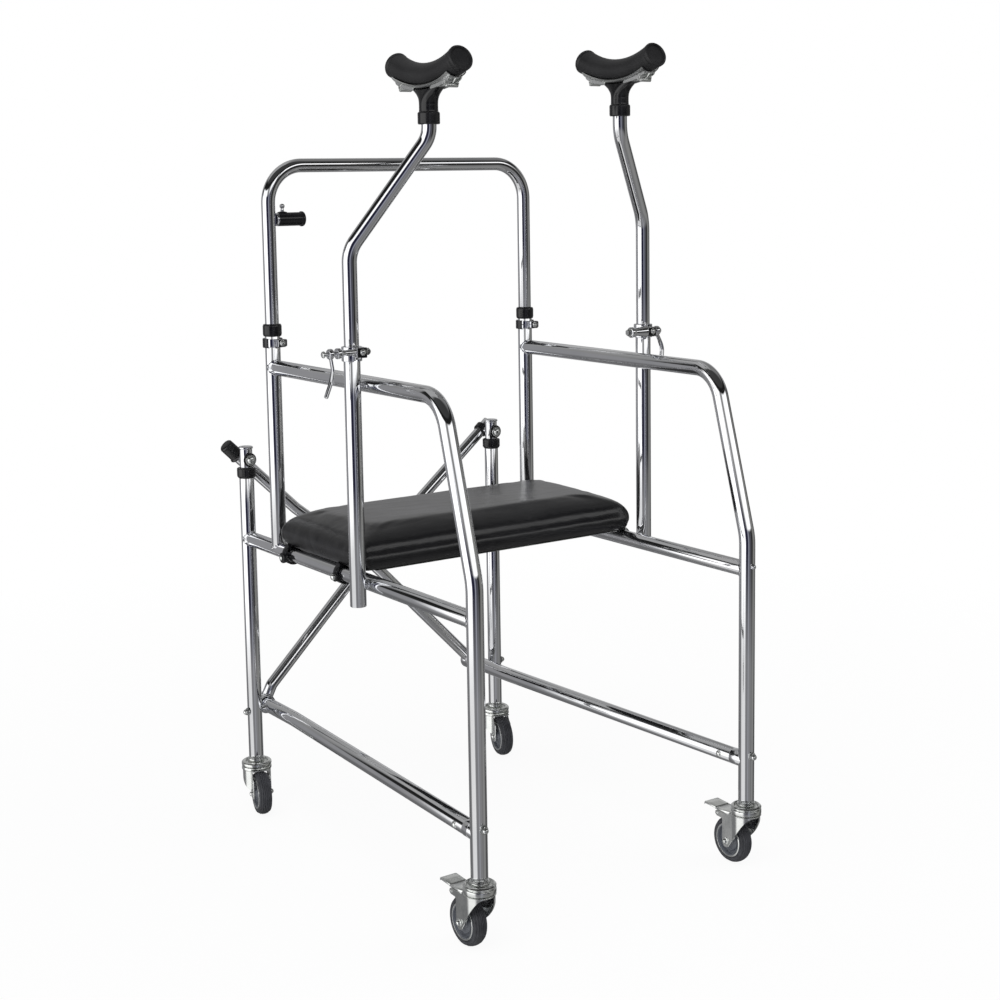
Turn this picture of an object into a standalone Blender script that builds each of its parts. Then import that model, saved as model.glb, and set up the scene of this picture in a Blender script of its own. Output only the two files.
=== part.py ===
"""Folding walker with underarm supports, a flip-up seat and four casters.

Metres, +Z up. +Y is the way the walker rolls, so the rear legs stand at Y = 0,
where the user steps in, and the folding gear is at the front. The left side is -X.
"""

import math

import bmesh
import bpy
from mathutils import Matrix, Vector

# Overall sizes
TRACK = 0.514  # spacing of the two side frames
FRONT_Y = 0.711  # front legs, measured from the rear legs
SUPPORT_Y = 0.2855  # underarm tubes
LOW_Z = 0.178  # lower rails
RAIL_Z = 0.489  # middle rails
TOP_Z = 0.798  # top rails
HALF = TRACK / 2
POST_Y = FRONT_Y - 0.116
HOOP_Z = TOP_Z + 0.332

# Tubes
GAP = 0.0003
TUBE_R = 0.0127
BORE_R = TUBE_R - 0.0010
INNER_R = BORE_R - GAP
SIDES = 10
RAIL_SIDES = 12
SMALL_SIDES = 6

# Casters
WHEEL_R = 0.0375
WHEEL_WIDTH = 0.022
TRAIL = 0.031
AXLE_R = 0.0040
FORK_HALF_WIDTH = WHEEL_WIDTH / 2 + 0.0052
FORK_SHEET = 0.0022
REAR_CASTER_TURN = math.radians(90)
FRONT_CASTER_TURN = math.radians(257)
REAR_HEAD_R = 0.0243
FRONT_HEAD_R = 0.0262
REAR_FORK_TOP_Z = 2 * WHEEL_R + 0.0152
FRONT_FORK_TOP_Z = 2 * WHEEL_R + 0.0042
PEDAL_PIVOT = (TRAIL + 0.0200, REAR_FORK_TOP_Z - 0.0117)
PEDAL_WIDTH = 0.0290

# Rear leg
REAR_FOOT_Z = REAR_FORK_TOP_Z + 0.0188
LEAN_Z = RAIL_Z + 0.052
LEAN_TOP_Y = 0.0748

# Front leg and the sliding head on it
FRONT_FOOT_Z = FRONT_FORK_TOP_Z + 0.0148
LEG_TOP_Z = RAIL_Z + 0.119
LEG_COLLAR_Z = (LEG_TOP_Z - 0.0125, LEG_TOP_Z + 0.0055)
LEG_COLLAR_R = TUBE_R + 0.0036
HEAD_Z = LEG_TOP_Z + 0.0205
HEAD_R = TUBE_R - 0.0007
HEAD_TOP_Z = HEAD_Z + 0.022
ROD_R = BORE_R - 0.0047
ROD_LENGTH = 0.245

# Posts and hoop
POST_TOP_Z = TOP_Z + 0.064
POST_CLAMP_Z = (POST_TOP_Z - 0.0310, POST_TOP_Z - 0.0152)
POST_COLLAR_Z = (POST_TOP_Z - 0.0120, POST_TOP_Z + 0.0080)
HOOP_LEG_BOTTOM_Z = TOP_Z - 0.158
HOOP_BEND_R = 0.062
GRIP_Z = HOOP_Z - 0.088
GRIP_R = 0.0112
GRIP_LENGTH = 0.053

# Folding gear, in a plane just beyond the front legs
RAIL_INSET = 2 * TUBE_R + 0.0081
BRACE_R = 0.0105
BRACE_Y = FRONT_Y + TUBE_R + BRACE_R + 0.0078
BRACE_STEP = BRACE_R + 0.0008
CROSS_Z = (LOW_Z + HEAD_Z) / 2 + 0.00125
SLEEVE_R = TUBE_R + 0.0038
SLEEVE_REACH = 0.0138
LOW_BEND_RISE = 0.135
KINK_SHARE = 0.584
KINK_DROP = 0.0108
GRIP_BRACE_PAST = 0.025
BOOT_BRACE_PAST = 0.020
BOOT_R = BRACE_R + 0.0035
BOLT_HOLE_R = 0.0034

# Underarm supports
SUPPORT_OUT = 2 * TUBE_R - 0.0004
SUPPORT_FOOT_Z = (RAIL_Z - 0.0324, RAIL_Z - 0.0125)
SUPPORT_TOP_Z = TOP_Z + 0.055
QUICK_CLAMP_Z = (SUPPORT_TOP_Z - 0.0185, SUPPORT_TOP_Z + 0.0035)
SPINDLE_OUT = TUBE_R + 0.0123
SUPPORT_BOTTOM_Z = TOP_Z - 0.158
ARM_LOW_BEND_Z = (TOP_Z + 0.202, TOP_Z + 0.235)
ARM_TOP_BEND_Z = (TOP_Z + 0.368, TOP_Z + 0.374)
ARM_END_Z = (TOP_Z + 0.402, TOP_Z + 0.417)
ARM_INWARD = 0.102
ARM_BACK = 0.0685
PAD_LENGTH = 0.194
PAD_R = 0.0190
PAD_RISE = 0.0200
PAD_BASE = 0.0365
CRADLE_DEPTH = 0.0018

# Seat, between the underarm tubes and the posts
SEAT_Y = (SUPPORT_Y + 0.0155, POST_Y - 0.0300)
SEAT_HALF_WIDTH = HALF + 0.008
SEAT_CORNER_R = 0.020
SEAT_BOARD_Z = (RAIL_Z + TUBE_R + 0.0013, RAIL_Z + TUBE_R + 0.0088)
CUSHION_TOP_Z = SEAT_BOARD_Z[1] + 0.0515
CLIP_Y = (POST_Y - 0.048, SUPPORT_Y + 0.0875)
SADDLE_Y = (SUPPORT_Y + 0.0345, SUPPORT_Y + 0.0780)

# Middle of the whole walker, seen from above; it is moved to the origin at the end
CENTRE_X = -0.0215
CENTRE_Y = (BRACE_Y + 0.0040) / 2

SIDE_NAMES = (("left", -1), ("right", 1))


def clear_scene():
    for obj in list(bpy.data.objects):
        bpy.data.objects.remove(obj, do_unlink=True)


# Colour, metallic and roughness of each finish
CHROME = ((0.86, 0.87, 0.88), 1.0, 0.08)
ZINC = ((0.70, 0.72, 0.68), 1.0, 0.28)
BLACK_PLASTIC = ((0.012, 0.012, 0.013), 0.0, 0.28)
VINYL = ((0.014, 0.014, 0.015), 0.0, 0.38)
FOAM = ((0.016, 0.016, 0.017), 0.0, 0.70)
RUBBER = ((0.115, 0.125, 0.140), 0.0, 0.62)
HUB_PLASTIC = ((0.46, 0.47, 0.48), 0.0, 0.45)


def material(name, look):
    colour, metallic, roughness = look
    made = bpy.data.materials.new(name)
    made.use_nodes = True
    shader = made.node_tree.nodes["Principled BSDF"]
    shader.inputs["Base Color"].default_value = (*colour, 1.0)
    shader.inputs["Metallic"].default_value = metallic
    shader.inputs["Roughness"].default_value = roughness
    return made


def from_bmesh(shape, name):
    mesh = bpy.data.meshes.new(name)
    shape.to_mesh(mesh)
    shape.free()
    obj = bpy.data.objects.new(name, mesh)
    bpy.context.scene.collection.objects.link(obj)
    return obj


def frame_along(direction):
    """Two unit vectors square to a direction, steady for the same direction."""
    along = direction.normalized()
    seed = Vector((0, 0, 1)) if abs(along.z) < 0.9 else Vector((1, 0, 0))
    side = along.cross(seed).normalized()
    return side, side.cross(along).normalized()


def rounded_path(corners, radii):
    """Points of a path with each inner corner turned into an arc."""
    corners = [Vector(corner) for corner in corners]
    path = [corners[0]]
    for index in range(1, len(corners) - 1):
        before, corner, after = corners[index - 1 : index + 2]
        into = (corner - before).normalized()
        out = (after - corner).normalized()
        turn = into.angle(out)
        radius = radii[index - 1]
        if turn < 1e-3:
            continue
        reach = radius * math.tan(turn / 2)
        start = corner - into * reach
        centre_way = (out - into).normalized()
        centre = corner + centre_way * (radius / math.cos(turn / 2))
        steps = max(2, round(turn / math.radians(24)))
        axis = into.cross(out).normalized()
        for step in range(steps + 1):
            spin = Matrix.Rotation(turn * step / steps, 3, axis)
            path.append(centre + spin @ (start - centre))
    path.append(corners[-1])
    return path


def tube(name, corners, radius, radii=(), sides=SIDES):
    """A solid round bar swept along a path, its ends closed."""
    path = rounded_path(corners, radii) if radii else [Vector(corner) for corner in corners]
    shape = bmesh.new()
    way = (path[1] - path[0]).normalized()
    side, up = frame_along(way)
    rings = []
    for index, point in enumerate(path):
        into = (path[index] - path[max(index - 1, 0)]).normalized()
        out = (path[min(index + 1, len(path) - 1)] - path[index]).normalized()
        middle = (into + out).normalized() if index not in (0, len(path) - 1) else way
        if index == 0:
            middle = out
        elif index == len(path) - 1:
            middle = into
        turn = way.rotation_difference(middle)
        side, up, way = turn @ side, turn @ up, middle
        ring = []
        for corner in range(sides):
            angle = math.tau * (corner + 0.5) / sides
            out_way = side * math.cos(angle) + up * math.sin(angle)
            ring.append(shape.verts.new(point + out_way * radius))
        rings.append(ring)
    for lower, upper in zip(rings, rings[1:]):
        for corner in range(sides):
            following = (corner + 1) % sides
            shape.faces.new((lower[corner], lower[following], upper[following], upper[corner]))
    shape.faces.new(rings[0])
    shape.faces.new(rings[-1])
    bmesh.ops.recalc_face_normals(shape, faces=shape.faces)
    return from_bmesh(shape, name)


def turned(name, profile, centre, axis=(0, 0, 1), sides=SIDES):
    """A solid of revolution from (radius, height) points; a closed loop where it has a bore."""
    shape = bmesh.new()
    centre = Vector(centre)
    along = Vector(axis).normalized()
    side, up = frame_along(along)
    hollow = min(radius for radius, _ in profile) > 1e-6
    rings = []
    for radius, height in profile:
        if radius < 1e-6:
            rings.append([shape.verts.new(centre + along * height)])
            continue
        ring = []
        for corner in range(sides):
            angle = math.tau * (corner + 0.5) / sides
            out = side * math.cos(angle) + up * math.sin(angle)
            ring.append(shape.verts.new(centre + along * height + out * radius))
        rings.append(ring)
    pairs = list(zip(rings, rings[1:]))
    if hollow:
        pairs.append((rings[-1], rings[0]))
    for lower, upper in pairs:
        for corner in range(sides):
            following = (corner + 1) % sides
            if len(lower) == 1 and len(upper) == 1:
                break
            if len(lower) == 1:
                shape.faces.new((lower[0], upper[following], upper[corner]))
            elif len(upper) == 1:
                shape.faces.new((lower[corner], lower[following], upper[0]))
            else:
                shape.faces.new((lower[corner], lower[following], upper[following], upper[corner]))
    if not hollow:
        for ring in (rings[0], rings[-1]):
            if len(ring) > 1:
                shape.faces.new(ring)
    bmesh.ops.recalc_face_normals(shape, faces=shape.faces)
    return from_bmesh(shape, name)


def rod(name, start, end, radius, sides=SMALL_SIDES):
    return tube(name, [start, end], radius, sides=sides)


def ring_profile(inner, outer, low, high, chamfer=0.0):
    return [
        (inner, low),
        (outer - chamfer, low),
        (outer, low + chamfer),
        (outer, high - chamfer),
        (outer - chamfer, high),
        (inner, high),
    ] if chamfer else [(inner, low), (outer, low), (outer, high), (inner, high)]


def block(name, low, high, bevel=0.0, segments=2):
    shape = bmesh.new()
    bmesh.ops.create_cube(shape, size=1.0)
    low, high = Vector(low), Vector(high)
    for vert in shape.verts:
        vert.co = Vector(
            (low[i] + high[i]) / 2 + vert.co[i] * (high[i] - low[i]) for i in range(3)
        )
    if bevel:
        bmesh.ops.bevel(
            shape, geom=list(shape.edges), offset=bevel, segments=segments, affect="EDGES", profile=0.5
        )
    bmesh.ops.recalc_face_normals(shape, faces=shape.faces)
    return from_bmesh(shape, name)


def plate(name, outline, origin, across, upward, thickness):
    """A flat sheet: an outline in the plane of two directions, centred on its thickness."""
    shape = bmesh.new()
    origin, across, upward = Vector(origin), Vector(across).normalized(), Vector(upward).normalized()
    normal = across.cross(upward).normalized()
    front = []
    back = []
    for a, b in outline:
        point = origin + across * a + upward * b
        front.append(shape.verts.new(point + normal * thickness / 2))
        back.append(shape.verts.new(point - normal * thickness / 2))
    count = len(outline)
    shape.faces.new(front)
    shape.faces.new(list(reversed(back)))
    for index in range(count):
        following = (index + 1) % count
        shape.faces.new((front[index], back[index], back[following], front[following]))
    bmesh.ops.recalc_face_normals(shape, faces=shape.faces)
    return from_bmesh(shape, name)


def combine(base, others, operation):
    """Joins or cuts with exact Booleans and keeps only the result."""
    for number, other in enumerate(others):
        other.hide_render = True
        other.display_type = "WIRE"
        step = base.modifiers.new(f"{operation}_{number}", "BOOLEAN")
        step.operation = operation
        step.solver = "EXACT"
        step.object = other
    bpy.context.view_layer.update()
    graph = bpy.context.evaluated_depsgraph_get()
    mesh = bpy.data.meshes.new_from_object(base.evaluated_get(graph))
    base.modifiers.clear()
    old = base.data
    base.data = mesh
    bpy.data.meshes.remove(old)
    for other in others:
        bpy.data.objects.remove(other, do_unlink=True)
    return base


def join(base, *others):
    return combine(base, others, "UNION")


def cut(base, *others):
    return combine(base, others, "DIFFERENCE")


def finish(obj, name, look, origin=None):
    """Names a piece, gives it its material and puts its origin on its joint."""
    obj.name = name
    obj.data.name = name
    obj.data.materials.clear()
    obj.data.materials.append(material(name, look))
    if origin is not None:
        origin = Vector(origin)
        obj.data.transform(Matrix.Translation(-origin))
        obj.location = origin
    return obj


def hole(start, end, radius, sides=SIDES):
    """A cutter whose flats, not its corners, lie at the radius, so that a round piece can turn in it."""
    return rod("cutter", start, end, radius / math.cos(math.pi / sides), sides)


def side_frame(name, s):
    """Rear leg and top rail, middle rail, front leg, post and underarm tube, welded."""
    x = s * HALF
    main = tube(
        "piece",
        [
            (x, 0, REAR_FOOT_Z),
            (x, 0, LEAN_Z),
            (x, LEAN_TOP_Y, TOP_Z),
            (x, POST_Y, TOP_Z),
        ],
        TUBE_R,
        [0.090, 0.058],
    )
    middle = rod("piece", (x, 0.001, RAIL_Z), (x, FRONT_Y - 0.001, RAIL_Z), TUBE_R, RAIL_SIDES)
    front = tube("piece", [(x, FRONT_Y, FRONT_FOOT_Z), (x, FRONT_Y, LEG_TOP_Z)], TUBE_R * 1.001)
    post = tube("piece", [(x, POST_Y, RAIL_Z), (x, POST_Y, POST_TOP_Z)], TUBE_R * 1.001)
    support_x = x + s * SUPPORT_OUT
    foot = SUPPORT_FOOT_Z[0 if s < 0 else 1]
    support = tube(
        "piece",
        [(support_x, SUPPORT_Y, foot), (support_x, SUPPORT_Y, SUPPORT_TOP_Z)],
        TUBE_R,
    )
    welds = [
        rod("piece", (x, SUPPORT_Y, z), (support_x, SUPPORT_Y, z), 0.0062) for z in (RAIL_Z, TOP_Z)
    ]
    join(main, middle, front, post, support, *welds)
    bores = [
        hole((x, FRONT_Y, HEAD_Z - 0.030 - ROD_LENGTH), (x, FRONT_Y, LEG_TOP_Z + 0.01), BORE_R),
        hole((x, POST_Y, HOOP_LEG_BOTTOM_Z - 0.02), (x, POST_Y, POST_TOP_Z + 0.01), BORE_R),
        hole((support_x, SUPPORT_Y, foot - 0.01), (support_x, SUPPORT_Y, SUPPORT_TOP_Z + 0.01), BORE_R),
    ]
    for foot_y, foot_z in ((0, REAR_FOOT_Z), (FRONT_Y, FRONT_FOOT_Z)):
        bores.append(hole((x, foot_y, foot_z - 0.01), (x, foot_y, foot_z + 0.030), 0.0083))
    bores.append(hole((x, -0.05, LOW_Z + 0.009), (x, 0.05, LOW_Z + 0.009), 0.0033, SMALL_SIDES))
    bores.append(hole((x - 0.05, FRONT_Y, LOW_Z), (x + 0.05, FRONT_Y, LOW_Z), 0.0033, SMALL_SIDES))
    cut(main, *bores)
    if s > 0:
        nut = turned(
            "piece",
            [(0.0, -0.004), (0.0045, -0.004), (0.0045, 0.004), (0.0025, 0.0065), (0.0, 0.0072)],
            (x, -TUBE_R + 0.0012, RAIL_Z + 0.006),
            (0, -1, 0),
            8,
        )
        join(main, nut)
    return finish(main, name, CHROME)


def lower_rail(name, s):
    """Lower rail, held beside the front leg and run on past it to carry the hinge sleeve."""
    x_rear = s * HALF
    x_front = s * (HALF - RAIL_INSET)
    end_y = BRACE_Y + SLEEVE_REACH
    rail = tube(
        "piece",
        [
            (x_rear - s * 0.0006, TUBE_R + GAP, LOW_Z),
            (x_front, FRONT_Y - 0.085, LOW_Z),
            (x_front, end_y + 0.0020, LOW_Z),
        ],
        TUBE_R,
        [0.25],
    )
    plug = turned(
        "piece",
        [(0.0, -0.004), (0.0100, -0.004), (0.0100, 0.0), (TUBE_R + 0.0015, 0.0), (TUBE_R + 0.0015, 0.0016),
         (0.0, 0.0026)],
        (x_front, end_y + 0.0008, LOW_Z),
        (0, 1, 0),
    )
    spacer = rod(
        "piece",
        (x_front, FRONT_Y, LOW_Z),
        (s * (HALF - TUBE_R - 0.0006), FRONT_Y, LOW_Z),
        0.0055,
    )
    screw = turned(
        "piece",
        [(0.0, -0.004), (0.0055, -0.004), (0.0055, 0.0010), (0.0040, 0.0028), (0.0, 0.0034)],
        (x_rear - s * 0.0026 - TUBE_R + 0.0005, 0.049, LOW_Z),
        (-1, 0, 0),
        SMALL_SIDES,
    )
    join(rail, plug, spacer, screw)
    cut(
        rail,
        hole((x_front - 0.05, FRONT_Y, LOW_Z), (x_front + 0.05, FRONT_Y, LOW_Z), 0.0033, SMALL_SIDES),
        hole((x_rear, 0.0, LOW_Z + 0.009), (x_rear, 0.040, LOW_Z + 0.009), 0.0033, SMALL_SIDES),
    )
    cut(rail, hole((x_rear, -0.02, LOW_Z), (x_rear, 0.0001, LOW_Z), TUBE_R * 1.6))
    leg = rod("cutter", (x_rear, 0, LOW_Z - 0.05), (x_rear, 0, LOW_Z + 0.05), TUBE_R + GAP, SIDES)
    cut(rail, leg)
    return finish(rail, name, CHROME)


def dome_bolt(name, nut_at, inner_end, look):
    """Dome nut outside a leg with its bolt through the leg."""
    nut_at, inner_end = Vector(nut_at), Vector(inner_end)
    out = (nut_at - inner_end).normalized()
    nut = turned(
        "piece",
        [
            (0.0, 0.0),
            (0.0072, 0.0),
            (0.0072, 0.0012),
            (0.0056, 0.0013),
            (0.0056, 0.0058),
            (0.0040, 0.0088),
            (0.0, 0.0102),
        ],
        nut_at,
        out,
        SMALL_SIDES,
    )
    shank = rod("piece", nut_at + out * 0.001, inner_end, 0.0030)
    return finish(join(nut, shank), name, look)


def post_collar(name, s):
    x = s * HALF
    low, high = POST_COLLAR_Z
    collar = turned(
        "piece",
        [
            (TUBE_R + GAP, low),
            (TUBE_R + 0.0023, low),
            (TUBE_R + 0.0030, low + 0.0015),
            (TUBE_R + 0.0030, high - 0.0040),
            (BORE_R + 0.0023, high),
            (BORE_R + 0.0001, high),
            (BORE_R + 0.0001, POST_TOP_Z + GAP),
            (TUBE_R + GAP, POST_TOP_Z + GAP),
        ],
        (x, POST_Y, 0),
    )
    return finish(collar, name, BLACK_PLASTIC)


def post_clamp(name, s):
    """Split ring round the post with a plated cheek and its screw."""
    x = s * HALF
    low, high = POST_CLAMP_Z
    middle = (low + high) / 2
    ring = turned(
        "piece", ring_profile(TUBE_R + GAP, TUBE_R + 0.0041, low, high, 0.0012), (x, POST_Y, 0)
    )
    cheek_x = x + 0.0060
    cheek = block(
        "piece",
        (cheek_x - 0.0085, POST_Y - TUBE_R - 0.0088, middle - 0.0066),
        (cheek_x + 0.0085, POST_Y - TUBE_R - 0.0008, middle + 0.0066),
        0.0012,
        1,
    )
    screw = turned(
        "piece",
        [(0.0, -0.002), (0.0048, -0.002), (0.0048, 0.0022), (0.0030, 0.0042), (0.0, 0.0048)],
        (cheek_x + 0.002, POST_Y - TUBE_R - 0.0088, middle),
        (0, -1, 0),
        SMALL_SIDES,
    )
    return finish(join(ring, cheek, screw), name, BLACK_PLASTIC)


def leg_collar(name, s):
    """End bushing on the front leg that guides the sliding rod."""
    low, high = LEG_COLLAR_Z
    collar = turned(
        "piece",
        [
            (TUBE_R + GAP, low),
            (TUBE_R + 0.0005, low),
            (LEG_COLLAR_R, low + 0.0035),
            (LEG_COLLAR_R, high - 0.0015),
            (LEG_COLLAR_R - 0.0012, high),
            (BORE_R, high),
            (BORE_R, LEG_TOP_Z + GAP),
            (TUBE_R + GAP, LEG_TOP_Z + GAP),
        ],
        (s * HALF, FRONT_Y, 0),
    )
    return finish(collar, name, BLACK_PLASTIC)


def slide_head(name, s):
    """Head on the rod that slides in the front leg, with its pivot bolt."""
    x = s * HALF
    low = LEG_COLLAR_Z[1] + GAP
    reach = BRACE_R if s < 0 else BOOT_R
    nut_y = BRACE_Y + reach + GAP
    body = turned(
        "piece",
        [
            (0.0, HEAD_Z - 0.015 - ROD_LENGTH),
            (ROD_R - 0.001, HEAD_Z - 0.015 - ROD_LENGTH),
            (ROD_R, HEAD_Z - 0.013 - ROD_LENGTH),
            (ROD_R, low),
            (HEAD_R - 0.0008, low),
            (HEAD_R - 0.0008, HEAD_TOP_Z - 0.0042),
            (HEAD_R + 0.0006, HEAD_TOP_Z - 0.0040),
            (HEAD_R + 0.0006, HEAD_TOP_Z - 0.0008),
            (HEAD_R - 0.0004, HEAD_TOP_Z),
            (0.0, HEAD_TOP_Z),
        ],
        (x, FRONT_Y, 0),
    )
    nut = nut_y - FRONT_Y
    seat = BRACE_Y - reach - GAP - FRONT_Y
    bolt = turned(
        "piece",
        [
            (0.0, -nut - 0.0045),
            (0.0058, -nut - 0.0045),
            (0.0058, -nut),
            (0.0030, -nut),
            (0.0030, -seat),
            (0.0075, -seat),
            (0.0085, HEAD_R + 0.0018),
            (0.0118, HEAD_R + 0.0026),
            (0.0122, HEAD_R + 0.0038),
            (0.0094, HEAD_R + 0.0052),
            (0.0094, HEAD_R + 0.0072),
            (0.0074, HEAD_R + 0.0102),
            (0.0, HEAD_R + 0.0118),
        ],
        (x, FRONT_Y, HEAD_Z),
        (0, -1, 0),
        SMALL_SIDES,
    )
    return finish(join(body, bolt), name, CHROME, (x, BRACE_Y, HEAD_Z))


def brace_line(s):
    """Corners of the brace that starts on rail s: sleeve, centre bolt, head and free end."""
    step = BRACE_STEP if s < 0 else -BRACE_STEP
    x_low = s * (HALF - RAIL_INSET)
    rise = CROSS_Z - LOW_Z
    head = Vector((-s * HALF, BRACE_Y, HEAD_Z))
    if s < 0:
        foot = [
            (x_low + 0.0030, BRACE_Y, LOW_Z + 0.004),
            (x_low + 0.0165, BRACE_Y, LOW_Z + rise * LOW_BEND_RISE),
        ]
        kink = []
        past = BOOT_BRACE_PAST
    else:
        foot = [(x_low - 0.0040, BRACE_Y, LOW_Z + 0.004)]
        kink_z = CROSS_Z + (HEAD_Z - CROSS_Z) * KINK_SHARE - KINK_DROP
        kink = [(-HALF * KINK_SHARE, BRACE_Y + step * (1 - KINK_SHARE), kink_z)]
        past = GRIP_BRACE_PAST
    corners = foot + [(0, BRACE_Y + step, CROSS_Z)] + kink
    up = (head - Vector(corners[-1])).normalized()
    up.y = 0
    up.normalize()
    radii = [0.018, 0.300, 0.010] if s < 0 else [0.300, 0.120, 0.010]
    return [Vector(corner) for corner in corners], head, up, past, radii


def brace(name, s):
    """Brace tube from the hinge sleeve on rail s up to the head on the other side."""
    corners, head, up, past, radii = brace_line(s)
    x_low = s * (HALF - RAIL_INSET)
    bar = tube("piece", corners + [head, head + up * past], BRACE_R, radii)
    sleeve = turned(
        "piece",
        [
            (0.0, -SLEEVE_REACH),
            (SLEEVE_R - 0.001, -SLEEVE_REACH),
            (SLEEVE_R, -SLEEVE_REACH + 0.001),
            (SLEEVE_R, SLEEVE_REACH - 0.001),
            (SLEEVE_R - 0.001, SLEEVE_REACH),
            (0.0, SLEEVE_REACH),
        ],
        (x_low, BRACE_Y, LOW_Z),
        (0, 1, 0),
    )
    join(bar, sleeve)
    through = Vector((0, 0.05, 0))
    rail = Vector((x_low, BRACE_Y, LOW_Z))
    centre = Vector((0, BRACE_Y, CROSS_Z))
    cut(
        bar,
        hole(rail - through, rail + through, TUBE_R + GAP),
        hole(centre - through, centre + through, BOLT_HOLE_R, SMALL_SIDES),
        hole(head - through, head + through, BOLT_HOLE_R, SMALL_SIDES),
    )
    origin = (x_low, BRACE_Y, LOW_Z) if s < 0 else (0, BRACE_Y, CROSS_Z)
    return finish(bar, name, CHROME, origin)


def brace_bolt(name):
    reach = BRACE_STEP + BRACE_R + GAP
    bolt = turned(
        "piece",
        [
            (0.0, -reach - 0.0050),
            (0.0056, -reach - 0.0050),
            (0.0056, -reach),
            (0.0030, -reach),
            (0.0030, reach),
            (0.0080, reach),
            (0.0080, reach + 0.0014),
            (0.0056, reach + 0.0016),
            (0.0050, reach + 0.0045),
            (0.0, reach + 0.0055),
        ],
        (0, BRACE_Y, CROSS_Z),
        (0, -1, 0),
        SMALL_SIDES,
    )
    return finish(bolt, name, ZINC)


def brace_ends():
    """Hand grip past the left head, black boot round the brace at the right head."""
    inner = (BRACE_R + GAP) / math.cos(math.pi / SIDES)
    _, head, up, past, _ = brace_line(1)
    profile = [
        (0.0, past + GAP),
        (inner, past + GAP),
        (inner, 0.0010),
        (BRACE_R + 0.0033, 0.0010),
        (BRACE_R + 0.0039, 0.0022),
        (BRACE_R + 0.0033, 0.0045),
        (BRACE_R + 0.0019, 0.0055),
        (BRACE_R + 0.0019, past + 0.0045),
        (BRACE_R + 0.0003, past + 0.0078),
        (0.0, past + 0.0092),
    ]
    grip = turned("piece", profile, head, up)
    through = Vector((0, 0.05, 0))
    notch = rod("cutter", head - through, head + through, 0.0080, SIDES)
    finish(cut(grip, notch), "brace_hand_grip", BLACK_PLASTIC)
    _, head, up, _, _ = brace_line(-1)
    boot = turned("piece", ring_profile(inner, BOOT_R, -0.0085, 0.0065, 0.001), head, up)
    bolt_hole = hole(head - through, head + through, BOLT_HOLE_R, SMALL_SIDES)
    finish(cut(boot, bolt_hole), "brace_end_boot", BLACK_PLASTIC)


def hoop(name):
    """Hoop: its left leg runs down inside the left post, its right leg meets the right collar."""
    bar = tube(
        "piece",
        [
            (-HALF, POST_Y, HOOP_LEG_BOTTOM_Z),
            (-HALF, POST_Y, HOOP_Z),
            (HALF, POST_Y, HOOP_Z),
            (HALF, POST_Y, POST_COLLAR_Z[1] + GAP),
        ],
        INNER_R,
        [HOOP_BEND_R, HOOP_BEND_R],
    )
    return finish(bar, name, CHROME, (-HALF, POST_Y, POST_TOP_Z))


def hoop_grip():
    """Small grip on the left hoop leg with its ball-headed pull pin."""
    start = -HALF + INNER_R
    saddle = 0.0035
    body = turned(
        "piece",
        [
            (0.0, GAP),
            (0.0095, GAP),
            (0.0095, saddle),
            (GRIP_R, saddle + 0.0005),
            (GRIP_R, GRIP_LENGTH - 0.0060),
            (0.0126, GRIP_LENGTH - 0.0045),
            (0.0126, GRIP_LENGTH - 0.0012),
            (0.0112, GRIP_LENGTH),
            (0.0, GRIP_LENGTH),
        ],
        (start, POST_Y, GRIP_Z),
        (1, 0, 0),
    )
    pin_x = start + 0.0140
    cut(
        body,
        hole((pin_x, POST_Y, GRIP_Z - 0.002), (pin_x, POST_Y, GRIP_Z + 0.03), 0.0033, SMALL_SIDES),
        rod("cutter", (-HALF, POST_Y, GRIP_Z - 0.05), (-HALF, POST_Y, GRIP_Z + 0.05), INNER_R + GAP),
    )
    finish(body, "hoop_grip", BLACK_PLASTIC)
    low = GRIP_Z - 0.0008
    pin = turned(
        "piece",
        [
            (0.0, low),
            (0.0030, low),
            (0.0030, GRIP_Z + 0.0175),
            (0.0037, GRIP_Z + 0.0190),
            (0.0041, GRIP_Z + 0.0216),
            (0.0033, GRIP_Z + 0.0242),
            (0.0, GRIP_Z + 0.0256),
        ],
        (pin_x, POST_Y, 0),
        sides=SMALL_SIDES,
    )
    finish(pin, "grip_pull_pin", CHROME, (pin_x, POST_Y, GRIP_Z))


def arm_points(s):
    index = 0 if s < 0 else 1
    x = s * (HALF + SUPPORT_OUT)
    top_x = x - s * ARM_INWARD
    top_y = SUPPORT_Y - ARM_BACK
    return index, x, top_x, top_y


def underarm_tube(name, s):
    index, x, top_x, top_y = arm_points(s)
    bar = tube(
        "piece",
        [
            (x, SUPPORT_Y, SUPPORT_BOTTOM_Z),
            (x, SUPPORT_Y, ARM_LOW_BEND_Z[index]),
            (top_x, top_y, ARM_TOP_BEND_Z[index]),
            (top_x, top_y, ARM_END_Z[index]),
        ],
        INNER_R,
        [0.055, 0.045],
    )
    return finish(bar, name, CHROME, (x, SUPPORT_Y, SUPPORT_TOP_Z))


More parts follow.
